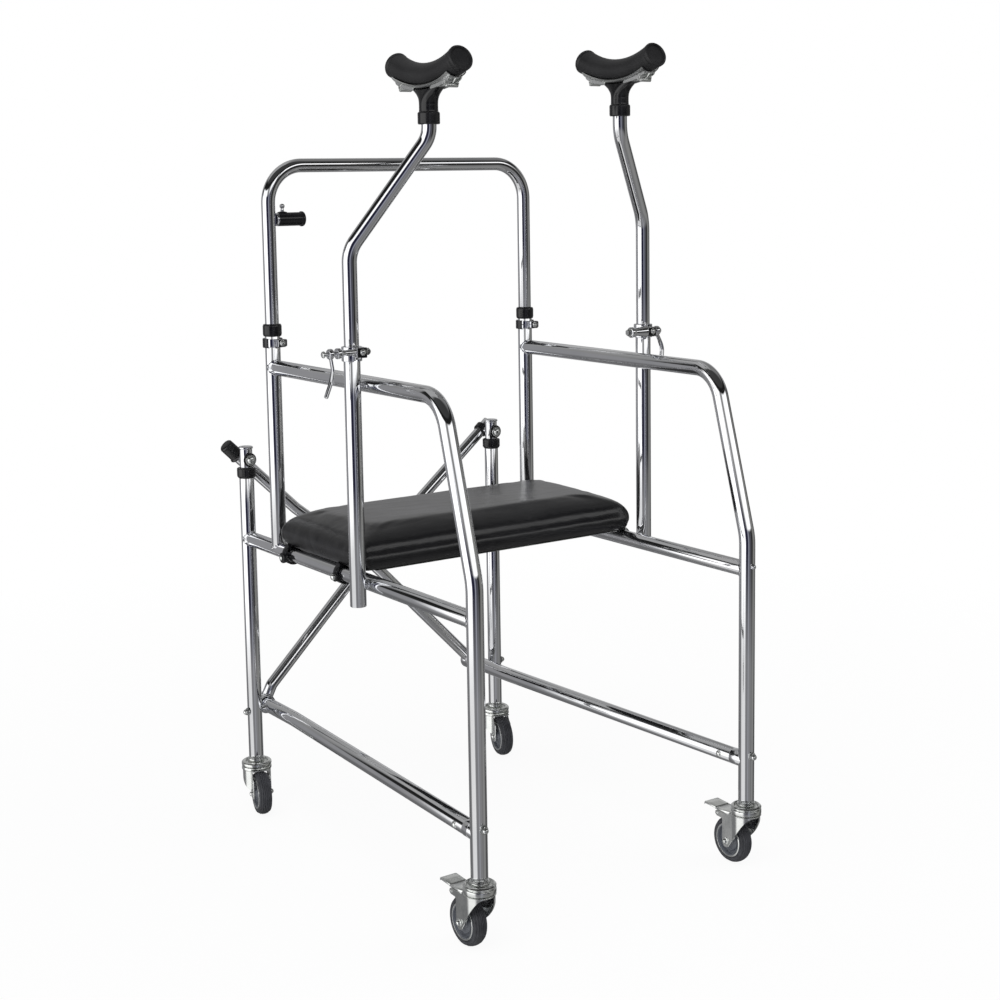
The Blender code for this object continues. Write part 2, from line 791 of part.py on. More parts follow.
def pad_holder(name, s):
    """Black socket on the tube that flares into a saddle under the pad."""
    index, _, x, y = arm_points(s)
    top = ARM_END_Z[index]
    socket = turned(
        "piece",
        [
            (0.0, top + GAP),
            (INNER_R + GAP, top + GAP),
            (INNER_R + GAP, top - 0.0160),
            (INNER_R + 0.0046, top - 0.0160),
            (INNER_R + 0.0052, top - 0.0145),
            (INNER_R + 0.0052, top + 0.0010),
            (INNER_R + 0.0036, top + 0.0022),
            (INNER_R + 0.0028, top + 0.0180),
            (INNER_R + 0.0038, top + PAD_BASE - 0.0060),
            (0.0, top + PAD_BASE - 0.0060),
        ],
        (x, y, 0),
    )
    line = pad_curve(s, PAD_R + CRADLE_DEPTH + GAP, 0.38, 6)
    saddle = [(point_y - y, z - top) for _, point_y, z in line]
    far_y, far_z = saddle[0]
    near_y, near_z = saddle[-1]
    wings = plate(
        "piece",
        [(0.0160, PAD_BASE - 0.0135), (far_y, far_z - 0.0030)]
        + saddle
        + [(near_y, near_z - 0.0030), (-0.0160, PAD_BASE - 0.0135), (-0.0110, 0.0130), (0.0110, 0.0130)],
        (x, y, top),
        (0, 1, 0),
        (0, 0, 1),
        0.0200,
    )
    return finish(join(socket, wings), name, BLACK_PLASTIC)


def pad_curve(s, offset=0.0, reach=1.0, steps=8):
    """Centre line of the crescent pad, front to rear, or a line a given depth below it."""
    index, _, x, y = arm_points(s)
    base = ARM_END_Z[index] + PAD_BASE + PAD_R
    half = PAD_LENGTH * 0.465
    points = []
    for step in range(steps + 1):
        along = (2 * step / steps - 1) * reach
        slope = 2 * PAD_RISE * along / half
        length = math.hypot(1, slope)
        out = half * along + offset * slope / length
        points.append((x, y - out, base + PAD_RISE * along * along - offset / length))
    return points


def height_on(line, at_y):
    """Height of a line of points where it passes a given Y."""
    for before, after in zip(line, line[1:]):
        if min(before[1], after[1]) <= at_y <= max(before[1], after[1]):
            share = (at_y - before[1]) / (after[1] - before[1])
            return before[2] + share * (after[2] - before[2])
    return line[-1][2]


def pad_cradle(name, s):
    """Bent strip under the pad with a flat wire loop at each end."""
    _, _, x, y = arm_points(s)
    upper = pad_curve(s, PAD_R + GAP, 0.80, 6)
    lower = pad_curve(s, PAD_R + CRADLE_DEPTH, 0.80, 6)
    outline = [(point_y - y, z) for _, point_y, z in upper + lower[::-1]]
    strip = plate("piece", outline, (x, y, 0), (0, 1, 0), (0, 0, 1), 0.0240)
    low = min(z for _, _, z in lower)
    loops = []
    for end in (-1, 1):
        near = y + end * PAD_LENGTH * 0.20
        far = y + end * PAD_LENGTH * 0.33
        strip_z = height_on(lower, far) + CRADLE_DEPTH * 0.4
        for side in (-1, 1):
            at = x + side * 0.0080
            loops.append(rod("piece", (at, near, low + 0.0035), (at, far, low + 0.0030), 0.0018))
        loops.append(rod("piece", (x - 0.0100, far, low + 0.0030), (x + 0.0100, far, low + 0.0030), 0.0026))
        loops.append(rod("piece", (x, far, low + 0.0030), (x, far, strip_z), 0.0016))
    join(strip, *loops)
    return finish(strip, name, ZINC)


def underarm_pad(name, s):
    """Crescent rest with flat discs at its raised ends."""
    points = pad_curve(s)
    pad = tube("piece", points, PAD_R)
    return finish(pad, name, FOAM)


def quick_clamp(name, s):
    """Ring and lug on the outer tube with the spindle that the cam lever turns on."""
    x = s * (HALF + SUPPORT_OUT)
    low, high = QUICK_CLAMP_Z
    spindle_z = high - 0.0065 if s < 0 else high - 0.0100
    spindle_y = SUPPORT_Y - SPINDLE_OUT
    ring = turned(
        "piece", ring_profile(TUBE_R + GAP, TUBE_R + 0.0033, low, high, 0.001), (x, SUPPORT_Y, 0)
    )
    lug_x = x - 0.0060 if s > 0 else x
    lug = block(
        "piece",
        (lug_x - 0.0088, spindle_y - 0.0075, spindle_z - 0.0088),
        (lug_x + 0.0088, SUPPORT_Y - TUBE_R + 0.0002, spindle_z + 0.0070),
        0.0010,
        1,
    )
    dome = turned(
        "piece",
        [(0.0, -0.002), (0.0050, -0.002), (0.0050, 0.0006), (0.0034, 0.0026), (0.0, 0.0034)],
        (lug_x + 0.001, spindle_y - 0.0075, spindle_z),
        (0, -1, 0),
        SMALL_SIDES,
    )
    if s < 0:
        spool = [
            (0.0, -0.0180),
            (0.0052, -0.0180),
            (0.0052, -0.0120),
            (0.0030, -0.0118),
            (0.0030, 0.0060),
            (0.0052, 0.0070),
            (0.0052, 0.0330),
            (0.0082, 0.0345),
            (0.0082, 0.0400),
            (0.0030, 0.0405),
            (0.0030, 0.0610),
            (0.0052, 0.0612),
            (0.0046, 0.0640),
            (0.0, 0.0646),
        ]
        shaft = turned("piece", spool, (x, spindle_y, spindle_z), (-1, 0, 0), SMALL_SIDES)
    else:
        spool = [
            (0.0, -0.0235),
            (0.0046, -0.0230),
            (0.0052, -0.0206),
            (0.0030, -0.0204),
            (0.0030, 0.0050),
            (0.0085, 0.0180),
            (0.0060, 0.0330),
            (0.0088, 0.0345),
            (0.0088, 0.0420),
            (0.0052, 0.0425),
            (0.0052, 0.0480),
            (0.0, 0.0486),
        ]
        shaft = turned("piece", spool, (lug_x - 0.001, spindle_y, spindle_z), (-1, 0, 0), SMALL_SIDES)
    return finish(join(ring, lug, dome, shaft), name, ZINC)


def lever_axis(s):
    x = s * (HALF + SUPPORT_OUT)
    high = QUICK_CLAMP_Z[1]
    z = high - 0.0065 if s < 0 else high - 0.0100
    centre = x - 0.0505 if s < 0 else x - 0.0060 + 0.0145
    return Vector((centre, SUPPORT_Y - SPINDLE_OUT, z))


def clamp_lever(name, s):
    """Cam lever: an eye on the spindle and a curved arm that hangs down."""
    at = lever_axis(s)
    width = 0.0080 if s < 0 else 0.0088
    eye = turned(
        "piece",
        [(0.0, -width / 2), (0.0080, -width / 2), (0.0080, width / 2), (0.0, width / 2)],
        at,
        (1, 0, 0),
    )
    if s < 0:
        path = [
            at + Vector((0, 0, -0.002)),
            at + Vector((0.003, -0.001, -0.024)),
            at + Vector((-0.002, -0.003, -0.043)),
            at + Vector((-0.011, -0.004, -0.063)),
        ]
    else:
        path = [
            at + Vector((-0.001, 0, -0.002)),
            at + Vector((0.007, 0.000, -0.017)),
            at + Vector((0.011, -0.002, -0.030)),
            at + Vector((0.007, -0.004, -0.046)),
        ]
    arm = tube("piece", path, 0.0032, [0.02, 0.03], 6)
    join(eye, arm)
    cut(eye, hole(at - Vector((0.02, 0, 0)), at + Vector((0.02, 0, 0)), 0.0033, SMALL_SIDES))
    return finish(eye, name, CHROME, at)


def cushion(name):
    """Padded cushion: crowned top, rounded sides drawn in to the board."""
    low = SEAT_BOARD_Z[1] + GAP
    depth = SEAT_Y[1] - SEAT_Y[0]
    centre_y = sum(SEAT_Y) / 2
    rows = [
        (0.0100, 0.0),
        (0.0030, 0.06),
        (0.0, 0.30),
        (0.0030, 0.58),
        (0.0120, 0.80),
        (0.0270, 0.93),
        (0.0600, 0.985),
    ]
    around = []
    for corner_x, corner_y, first in ((1, 1, 0), (-1, 1, 90), (-1, -1, 180), (1, -1, 270)):
        for step in range(6):
            around.append((corner_x, corner_y, math.radians(first + step * 18)))
    shape = bmesh.new()
    rings = []
    height = CUSHION_TOP_Z - low
    for inset, share in rows:
        corner = max(SEAT_CORNER_R - inset * 0.15, 0.012)
        half_x = SEAT_HALF_WIDTH - inset
        half_y = depth / 2 - inset
        ring = []
        for corner_x, corner_y, angle in around:
            at_x = corner_x * (half_x - corner) + corner * math.cos(angle)
            at_y = corner_y * (half_y - corner) + corner * math.sin(angle)
            ring.append(shape.verts.new((at_x, centre_y + at_y, low + share * height)))
        rings.append(ring)
    count = len(around)
    for lower, upper in zip(rings, rings[1:]):
        for index in range(count):
            following = (index + 1) % count
            shape.faces.new((lower[index], lower[following], upper[following], upper[index]))
    shape.faces.new(rings[0])
    top = shape.verts.new((0, centre_y, CUSHION_TOP_Z))
    for index in range(count):
        shape.faces.new((rings[-1][index], rings[-1][(index + 1) % count], top))
    bmesh.ops.recalc_face_normals(shape, faces=shape.faces)
    return finish(from_bmesh(shape, name), name, VINYL, (-HALF, centre_y, RAIL_Z))


def seat_board(name):
    """Base board with its hinge rings on the left rail and open saddles on the right rail."""
    board = block(
        "piece",
        (-SEAT_HALF_WIDTH + 0.011, SEAT_Y[0] + 0.011, SEAT_BOARD_Z[0]),
        (SEAT_HALF_WIDTH - 0.011, SEAT_Y[1] - 0.011, SEAT_BOARD_Z[1]),
        0.0015,
        1,
    )
    parts = []
    for y in CLIP_Y:
        ring_r = TUBE_R + 0.0045
        ring_ends = [(-HALF, y - 0.006, RAIL_Z), (-HALF, y + 0.006, RAIL_Z)]
        parts.append(rod("piece", *ring_ends, ring_r, RAIL_SIDES))
        parts.append(
            block(
                "piece",
                (-HALF - 0.0110, y - 0.0055, RAIL_Z + 0.0100),
                (-HALF + 0.0126, y + 0.0055, SEAT_BOARD_Z[0] + 0.003),
            )
        )
        parts.append(
            turned(
                "piece",
                [(0.0, 0.0), (0.0078, 0.0), (0.0078, 0.0052), (0.0040, 0.0084), (0.0, 0.0092)],
                (-HALF - TUBE_R - 0.0023, y, RAIL_Z - 0.0040),
                (-1, 0, 0),
                SMALL_SIDES,
            )
        )
    for y in SADDLE_Y:
        parts.append(
            block(
                "piece",
                (HALF - 0.0105, y - 0.0085, RAIL_Z + 0.0070),
                (HALF + TUBE_R + 0.0051, y + 0.0085, SEAT_BOARD_Z[0] + 0.002),
            )
        )
        parts.append(
            block(
                "piece",
                (HALF + TUBE_R + 0.0008, y - 0.0080, RAIL_Z - 0.0050),
                (HALF + TUBE_R + 0.0049, y + 0.0080, RAIL_Z + 0.0100),
            )
        )
    join(board, *parts)
    cut(
        board,
        hole((-HALF, SEAT_Y[0], RAIL_Z), (-HALF, SEAT_Y[1], RAIL_Z), TUBE_R + GAP, RAIL_SIDES),
        hole((HALF, SEAT_Y[0], RAIL_Z), (HALF, SEAT_Y[1], RAIL_Z), TUBE_R + GAP, RAIL_SIDES),
    )
    return finish(board, name, BLACK_PLASTIC, (-HALF, sum(SEAT_Y) / 2, RAIL_Z))


def caster_mount(name, at, foot_z, head_r, top_z, plate_z, braked):
    """Plug in the leg, drum over the fork and the stub that the fork turns on."""
    race = top_z + GAP
    profile = [
        (0.0, foot_z + 0.026),
        (0.0080, foot_z + 0.026),
        (0.0080, foot_z - GAP),
        (0.0145, foot_z - GAP),
        (0.0150, foot_z - 0.0030),
        (head_r, foot_z - (0.0045 if braked else 0.0065)),
    ]
    if braked:
        groove = foot_z - 0.0089
        profile += [
            (head_r, groove + 0.0012),
            (head_r - 0.0018, groove),
            (head_r, groove - 0.0012),
        ]
    profile += [
        (head_r, race),
        (0.0040, race),
        (0.0040, plate_z - GAP),
        (0.0064, plate_z - GAP),
        (0.0064, plate_z - 0.0025),
        (0.0, plate_z - 0.0025),
    ]
    finish(turned("piece", profile[::-1], at), name, ZINC)


def fork_skirt(at, away, across, radius, top_z, edge):
    """Curved wall of the fork over a range of angles; its lower edge follows (degrees, height)."""
    around = list(edge) + [(360 - angle, z) for angle, z in reversed(edge)]
    shape = bmesh.new()
    rows = []
    for angle, low in around:
        turn = math.radians(angle)
        out = away * math.cos(turn) + across * math.sin(turn)
        row = []
        for reach, z in (
            (radius, top_z),
            (radius, low),
            (radius - FORK_SHEET, low),
            (radius - FORK_SHEET, top_z),
        ):
            row.append(shape.verts.new(at + out * reach + Vector((0, 0, z))))
        rows.append(row)
    for before, after in zip(rows, rows[1:]):
        for index in range(4):
            following = (index + 1) % 4
            shape.faces.new((before[index], before[following], after[following], after[index]))
    shape.faces.new(rows[0][::-1])
    shape.faces.new(rows[-1])
    bmesh.ops.recalc_face_normals(shape, faces=shape.faces)
    return from_bmesh(shape, "piece")


def caster_fork(name, at, away, across, head_r, top_z, plate_z, braked):
    """Top plate, curved skirt, two flat legs and the axle bolt."""
    top = turned(
        "piece",
        [(0.0043, plate_z), (head_r - 0.0012, plate_z), (head_r - 0.0004, top_z - 0.0008),
         (head_r - 0.0008, top_z), (0.0043, top_z)],
        at,
    )
    bridge_end = 0.0235 if braked else 0.0340
    bridge = plate(
        "piece",
        [(0.0105, -FORK_HALF_WIDTH + 0.0004), (bridge_end, -FORK_HALF_WIDTH + 0.0004),
         (bridge_end, FORK_HALF_WIDTH - 0.0004), (0.0105, FORK_HALF_WIDTH - 0.0004)],
        at + Vector((0, 0, (plate_z + top_z) / 2)),
        away,
        across,
        (top_z - plate_z) * 0.8,
    )
    first = math.degrees(math.asin(min((FORK_HALF_WIDTH - 0.0012) / head_r, 0.95)))
    shares = ((90, 0.39), (101, 0.53), (111, 0.65), (123, 0.77), (133, 0.85), (143, 0.91), (160, 0.96))
    wall_top = (plate_z + top_z) / 2
    height = wall_top - WHEEL_R
    edge = [(first, WHEEL_R + 0.05 * height), ((first + 80) / 2, WHEEL_R + 0.20 * height)]
    edge += [(78, WHEEL_R + 0.31 * height)]
    edge += [(angle, WHEEL_R + share * height) for angle, share in shares]
    pieces = [bridge, fork_skirt(at, away, across, head_r, wall_top, edge)]
    front = math.sqrt(head_r ** 2 - FORK_HALF_WIDTH ** 2) - 0.0032
    outline = [
        (front, wall_top),
        (front, WHEEL_R + 0.17 * height),
        (TRAIL - 0.0100, WHEEL_R - 0.0025),
        (TRAIL - 0.0065, WHEEL_R - 0.0085),
        (TRAIL - 0.0020, WHEEL_R - 0.0110),
        (TRAIL + 0.0025, WHEEL_R - 0.0108),
        (TRAIL + 0.0062, WHEEL_R - 0.0075),
        (TRAIL + 0.0080, WHEEL_R - 0.0025),
    ]
    if braked:
        away_pivot, pivot_z = PEDAL_PIVOT
        outline += [
            (TRAIL + 0.0080, pivot_z - 0.0055),
            (away_pivot + 0.0020, pivot_z - 0.0050),
            (away_pivot + 0.0052, pivot_z - 0.0015),
            (away_pivot + 0.0050, pivot_z + 0.0015),
            (away_pivot + 0.0022, pivot_z + 0.0047),
            (bridge_end, pivot_z + 0.0050),
            (bridge_end, wall_top),
        ]
    else:
        outline += [
            (TRAIL + 0.0080, WHEEL_R + 0.62 * height),
            (bridge_end, wall_top),
        ]
    middle = FORK_HALF_WIDTH - FORK_SHEET / 2
    for side in (-1, 1):
        pieces.append(
            plate("piece", outline, at + across * side * middle, away, (0, 0, 1), FORK_SHEET)
        )
    axle_centre = at + away * TRAIL + Vector((0, 0, WHEEL_R))
    end = FORK_HALF_WIDTH
    axle = turned(
        "piece",
        [
            (0.0, -end - 0.0056),
            (0.0046, -end - 0.0050),
            (0.0062, -end - 0.0008),
            (0.0062, -end + 0.0010),
            (AXLE_R, -end + 0.0012),
            (AXLE_R, end - 0.0012),
            (0.0062, end - 0.0010),
            (0.0062, end + 0.0008),
            (0.0046, end + 0.0050),
            (0.0, end + 0.0056),
        ],
        axle_centre,
        across,
        SMALL_SIDES,
    )
    join(top, *pieces, axle)
    if braked:
        pivot = at + away * PEDAL_PIVOT[0] + Vector((0, 0, PEDAL_PIVOT[1]))
        cut(top, hole(pivot - across * 0.03, pivot + across * 0.03, 0.0029, SMALL_SIDES))
    finish(top, name, ZINC, at + Vector((0, 0, top_z)))


def brake_pedal(name, at, away, across):
    """Nearly level pedal plate on a pin between the arms of the fork."""
    away_pivot, pivot_z = PEDAL_PIVOT
    pivot = at + away * away_pivot + Vector((0, 0, pivot_z))
    low = pivot_z + 0.0063
    inner = REAR_HEAD_R + 0.0008
    pedal = plate(
        "piece",
        [(inner, low), (away_pivot + 0.0060, low), (away_pivot + 0.0315, low + 0.0010),
         (away_pivot + 0.0315, low - 0.0010), (away_pivot + 0.0340, low - 0.0010),
         (away_pivot + 0.0340, low + 0.0036), (away_pivot + 0.0060, low + 0.0026), (inner, low + 0.0026)],
        at,
        away,
        (0, 0, 1),
        PEDAL_WIDTH,
    )
    web = plate(
        "piece",
        [(away_pivot - 0.0035, pivot_z - 0.0030), (away_pivot + 0.0035, pivot_z - 0.0030),
         (away_pivot + 0.0035, low + 0.0012), (away_pivot - 0.0035, low + 0.0012)],
        at,
        away,
        (0, 0, 1),
        2 * (FORK_HALF_WIDTH - FORK_SHEET - GAP),
    )
    reach = across * (FORK_HALF_WIDTH + 0.0012)
    pin = rod("piece", pivot - reach, pivot + reach, 0.0026)
    finish(join(pedal, web, pin), name, ZINC, pivot)


def caster(prefix, x, y, foot_z, turn, braked):
    """One caster: mount, fork, hub, tyre and, at the rear, the brake pedal."""
    away = Vector((math.cos(turn), math.sin(turn), 0))
    across = Vector((-math.sin(turn), math.cos(turn), 0))
    at = Vector((x, y, 0))
    head_r = REAR_HEAD_R if braked else FRONT_HEAD_R
    top_z = REAR_FORK_TOP_Z if braked else FRONT_FORK_TOP_Z
    plate_z = top_z - (0.0034 if braked else 0.0030)
    caster_mount(prefix + "_mount", at, foot_z, head_r, top_z, plate_z, braked)
    caster_fork(prefix + "_fork", at, away, across, head_r, top_z, plate_z, braked)
    if braked:
        brake_pedal(prefix + "_brake_pedal", at, away, across)
    axle_centre = at + away * TRAIL + Vector((0, 0, WHEEL_R))
    wide = WHEEL_WIDTH / 2
    boss = FORK_HALF_WIDTH - FORK_SHEET - GAP
    rim = WHEEL_R - 0.0095
    hub = turned(
        "piece",
        [
            (AXLE_R + GAP, -boss),
            (0.0080, -boss),
            (0.0100, -wide + 0.0038),
            (rim - 0.0045, -wide + 0.0038),
            (rim, -wide + 0.0004),
            (rim, wide - 0.0004),
            (rim - 0.0045, wide - 0.0038),
            (0.0100, wide - 0.0038),
            (0.0080, boss),
            (AXLE_R + GAP, boss),
        ],
        axle_centre,
        across,
        12,
    )
    finish(hub, prefix + "_hub", HUB_PLASTIC, axle_centre)
    tyre = turned(
        "piece",
        [
            (rim / math.cos(math.pi / 20) + GAP, -wide),
            (WHEEL_R - 0.0030, -wide),
            (WHEEL_R, -wide + 0.0050),
            (WHEEL_R, wide - 0.0050),
            (WHEEL_R - 0.0030, wide),
            (rim / math.cos(math.pi / 20) + GAP, wide),
        ],
        axle_centre,
        across,
        20,
    )
    finish(tyre, prefix + "_tyre", RUBBER, axle_centre)


def build():
    clear_scene()
    for side, s in SIDE_NAMES:
        side_frame(side + "_side_frame", s)
        lower_rail(side + "_lower_rail", s)
        x = s * HALF
        dome_bolt(
            side + "_rail_bolt_front",
            (x + s * (TUBE_R + GAP), FRONT_Y, LOW_Z),
            (s * (HALF - RAIL_INSET - 0.010), FRONT_Y, LOW_Z),
            ZINC,
        )
        dome_bolt(
            side + "_rail_bolt_rear",
            (x, -TUBE_R - GAP, LOW_Z + 0.009),
            (x, 0.036, LOW_Z + 0.009),
            ZINC,
        )
        post_collar(side + "_post_collar", s)
        post_clamp(side + "_post_clamp", s)
        leg_collar(side + "_leg_collar", s)
        slide_head(side + "_slide_head", s)
        underarm_tube(side + "_underarm_tube", s)
        pad_holder(side + "_pad_holder", s)
        pad_cradle(side + "_pad_cradle", s)
        underarm_pad(side + "_underarm_pad", s)
        quick_clamp(side + "_quick_clamp", s)
        clamp_lever(side + "_clamp_lever", s)
        caster(side + "_rear_caster", x, 0.0, REAR_FOOT_Z, REAR_CASTER_TURN, True)
        caster(side + "_front_caster", x, FRONT_Y, FRONT_FOOT_Z, FRONT_CASTER_TURN, False)
    brace("brace_a", -1)
    brace("brace_b", 1)
    brace_bolt("brace_centre_bolt")
    brace_ends()
    hoop("hoop")
    hoop_grip()
    seat_board("seat_board")
    cushion("seat_cushion")
    for obj in bpy.data.objects:
        obj.location -= Vector((CENTRE_X, CENTRE_Y, 0))


build()
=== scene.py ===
"""Looks of the folding walker: chromed frame, folding gear, underarm rests, padded seat, casters.

Metres, +Z up. Pieces are modelled in the walker's own coordinates, with the rear legs at
Y = 0 and the sides at X = -HALF and +HALF, and are moved by OFFSET into the frame.
"""

import math

import bmesh
import bpy
from mathutils import Matrix, Vector, noise


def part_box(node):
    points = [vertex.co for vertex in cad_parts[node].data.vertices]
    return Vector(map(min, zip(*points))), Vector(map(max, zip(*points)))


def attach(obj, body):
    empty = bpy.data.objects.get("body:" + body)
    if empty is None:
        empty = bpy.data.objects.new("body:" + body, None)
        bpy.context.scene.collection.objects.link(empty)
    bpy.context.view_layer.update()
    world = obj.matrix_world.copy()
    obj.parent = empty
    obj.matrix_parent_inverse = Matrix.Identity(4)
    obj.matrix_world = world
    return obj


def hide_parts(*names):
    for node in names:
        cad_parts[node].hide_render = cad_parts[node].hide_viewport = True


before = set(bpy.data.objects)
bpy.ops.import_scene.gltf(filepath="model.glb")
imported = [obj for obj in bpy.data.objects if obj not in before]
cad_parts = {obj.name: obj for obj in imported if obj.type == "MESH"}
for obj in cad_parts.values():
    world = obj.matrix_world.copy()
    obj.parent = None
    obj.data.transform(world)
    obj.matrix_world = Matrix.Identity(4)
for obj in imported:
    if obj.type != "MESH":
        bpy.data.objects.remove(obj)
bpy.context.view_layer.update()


def middle(node):
    low, high = (Vector(corner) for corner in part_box(node))
    return (low + high) / 2


# Where the legs and posts stand, read from the frame
LEFT_LEG = middle("left_rear_caster_mount")
RIGHT_LEG = middle("right_rear_caster_mount")
HALF = (RIGHT_LEG.x - LEFT_LEG.x) / 2
OFFSET = Vector(((LEFT_LEG.x + RIGHT_LEG.x) / 2, LEFT_LEG.y, 0))
FRONT_Y = middle("left_front_caster_mount").y - OFFSET.y
POST_Y = middle("left_post_collar").y - OFFSET.y
SUPPORT_Y = 0.2855

# Tubes and levels
TUBE_R = 0.0127
BORE_R = 0.0117
INNER_R = 0.0114
BRACE_R = 0.0105
GAP = 0.0003
BOLT_R = 0.0030
LOW_Z = 0.178
RAIL_Z = 0.489
TOP_Z = 0.798
HOOP_Z = 1.130
REAR_FOOT_Z = 0.109
FRONT_FOOT_Z = 0.094
LEAN_Z = 0.541
LEAN_TOP_Y = 0.0748
LEG_BEND_R = (0.090, 0.058)
LEG_TOP_Z = 0.608
LEG_COLLAR_Z = (0.5955, 0.6135)
HEAD_Z = 0.6285
HEAD_R = 0.0120
HEAD_TOP_Z = 0.6505
ROD_R = 0.0070
ROD_LENGTH = 0.245
POST_TOP_Z = 0.862
POST_CLAMP_Z = (0.8310, 0.8468)
POST_COLLAR_Z = (0.8500, 0.8700)
HOOP_LEG_BOTTOM_Z = 0.640
HOOP_BEND_R = 0.062
GRIP_Z = 1.042
GRIP_LENGTH = 0.053

# Folding gear
RAIL_INSET = 0.0335
BRACE_Y = FRONT_Y + 0.0310
BRACE_STEP = 0.0113
CROSS_Z = 0.4045
SLEEVE_R = 0.0165
SLEEVE_REACH = 0.0138
BOOT_R = 0.0140

# Underarm supports
SUPPORT_OUT = 0.0250
SUPPORT_FOOT_Z = (0.4566, 0.4765)
SUPPORT_TOP_Z = 0.8530
QUICK_CLAMP_Z = (0.8345, 0.8565)
SPINDLE_OUT = 0.0250
SUPPORT_BOTTOM_Z = 0.640
ARM_LOW_BEND_Z = (1.000, 1.033)
ARM_TOP_BEND_Z = (1.166, 1.172)
ARM_END_Z = (1.200, 1.215)
ARM_BEND_R = (0.055, 0.045)
ARM_INWARD = 0.102
ARM_BACK = 0.0685
PAD_LENGTH = 0.194
PAD_R = 0.0190
PAD_RISE = 0.0200
PAD_BASE = 0.0365
NECK_R = 0.0142

# Seat
SEAT_Y = (0.3010, 0.5650)
SEAT_MIDDLE_Y = sum(SEAT_Y) / 2
SEAT_HALF_DEPTH = (SEAT_Y[1] - SEAT_Y[0]) / 2
SEAT_HALF_WIDTH = 0.265
SEAT_CORNER_R = 0.020
SEAT_BOARD_Z = (0.5030, 0.5105)
SEAT_BOARD_INSET = 0.011
CUSHION_TOP_Z = 0.562
CLIP_Y = (0.547, 0.373)
SADDLE_Y = (0.320, 0.3635)

# Casters
WHEEL_R = 0.0375
WHEEL_WIDTH = 0.022
TRAIL = 0.031
STUB_R = 0.0040
FORK_HALF_WIDTH = 0.0162
FORK_SHEET = 0.0022
FORK_PLATE_DROP = 0.0034
REAR_CASTER_TURN = math.radians(90)
FRONT_CASTER_TURN = math.radians(257)
REAR_HEAD_R = 0.0243
FRONT_HEAD_R = 0.0262
REAR_FORK_TOP_Z = 0.0902
FRONT_FORK_TOP_Z = 0.0792
PEDAL_PIVOT = (0.0510, 0.0785)

RIGHT = Vector((1, 0, 0))
FORWARD = Vector((0, 1, 0))
UP = Vector((0, 0, 1))
SIDES = (("left", -1), ("right", 1))

# A smaller radius is a point on the axis, and a smaller turn in radians is no bend
ON_AXIS = 1e-6
STRAIGHT = 1e-3


# Shading nodes

def feed(tree, made, **values):
    """Sets inputs of a node, _0 being the one numbered 0, and links those that are given a socket."""
    for name, value in values.items():
        socket = made.inputs[int(name[1:]) if name[0] == "_" else name.replace("_", " ")]
        if isinstance(value, bpy.types.NodeSocket):
            tree.links.new(value, socket)
        else:
            socket.default_value = value


def node(tree, kind, **values):
    """A new node: names in small letters are its properties, the others its inputs."""
    made = tree.nodes.new("ShaderNode" + kind)
    for name in [name for name in values if name[0].islower()]:
        setattr(made, name, values.pop(name))
    feed(tree, made, **values)
    return made


def ramp(tree, stops, source):
    made = node(tree, "ValToRGB", Fac=source)
    elements = made.color_ramp.elements
    while len(elements) < len(stops):
        elements.new(0.5)
    for element, (place, colour) in zip(elements, stops):
        element.position = place
        element.color = (*colour, 1.0) if isinstance(colour, tuple) else (colour, colour, colour, 1.0)
    return made.outputs["Color"]


def grain_normal(tree, place, scale, strength, depth):
    fine = node(tree, "TexNoise", Vector=place, Scale=scale, Detail=3.0, Roughness=0.6)
    relief = node(tree, "Bump", Height=fine.outputs["Fac"], Strength=strength, Distance=depth)
    return relief.outputs["Normal"]


def vinyl_normal(tree, place):
    """Pebbled grain with long soft wrinkles under it."""
    pebbles = node(tree, "TexVoronoi", Vector=place, Scale=850.0, Randomness=1.0).outputs["Distance"]
    stretched = node(tree, "Mapping", Vector=place, Scale=(0.35, 1.0, 1.0)).outputs["Vector"]
    wrinkles = node(
        tree, "TexNoise", Vector=stretched, Scale=26.0, Detail=5.0, Roughness=0.62, Distortion=1.6
    ).outputs["Fac"]
    under = node(tree, "Bump", Height=wrinkles, Strength=0.22, Distance=0.0030).outputs["Normal"]
    relief = node(tree, "Bump", Height=pebbles, Strength=0.16, Distance=0.0003, Normal=under)
    return relief.outputs["Normal"]


def surface(name, dark, light, metallic, rough, patch_scale, grain=None):
    """A finish whose colour and roughness wander between two values, with a grain or the vinyl's relief."""
    made = bpy.data.materials.new(name)
    made.use_nodes = True
    tree = made.node_tree
    place = node(tree, "TexCoord").outputs["Object"]
    patches = node(tree, "TexNoise", Vector=place, Scale=patch_scale, Detail=4.0, Roughness=0.55)
    patches = patches.outputs["Fac"]
    low, high = rough
    spread = node(tree, "MapRange", Value=patches, From_Min=0.3, From_Max=0.7, To_Min=low, To_Max=high)
    feed(
        tree,
        tree.nodes["Principled BSDF"],
        Metallic=metallic,
        Base_Color=ramp(tree, [(0.35, dark), (0.65, light)], patches),
        Roughness=spread.outputs["Result"],
        Normal=grain_normal(tree, place, *grain) if grain else vinyl_normal(tree, place),
    )
    return made


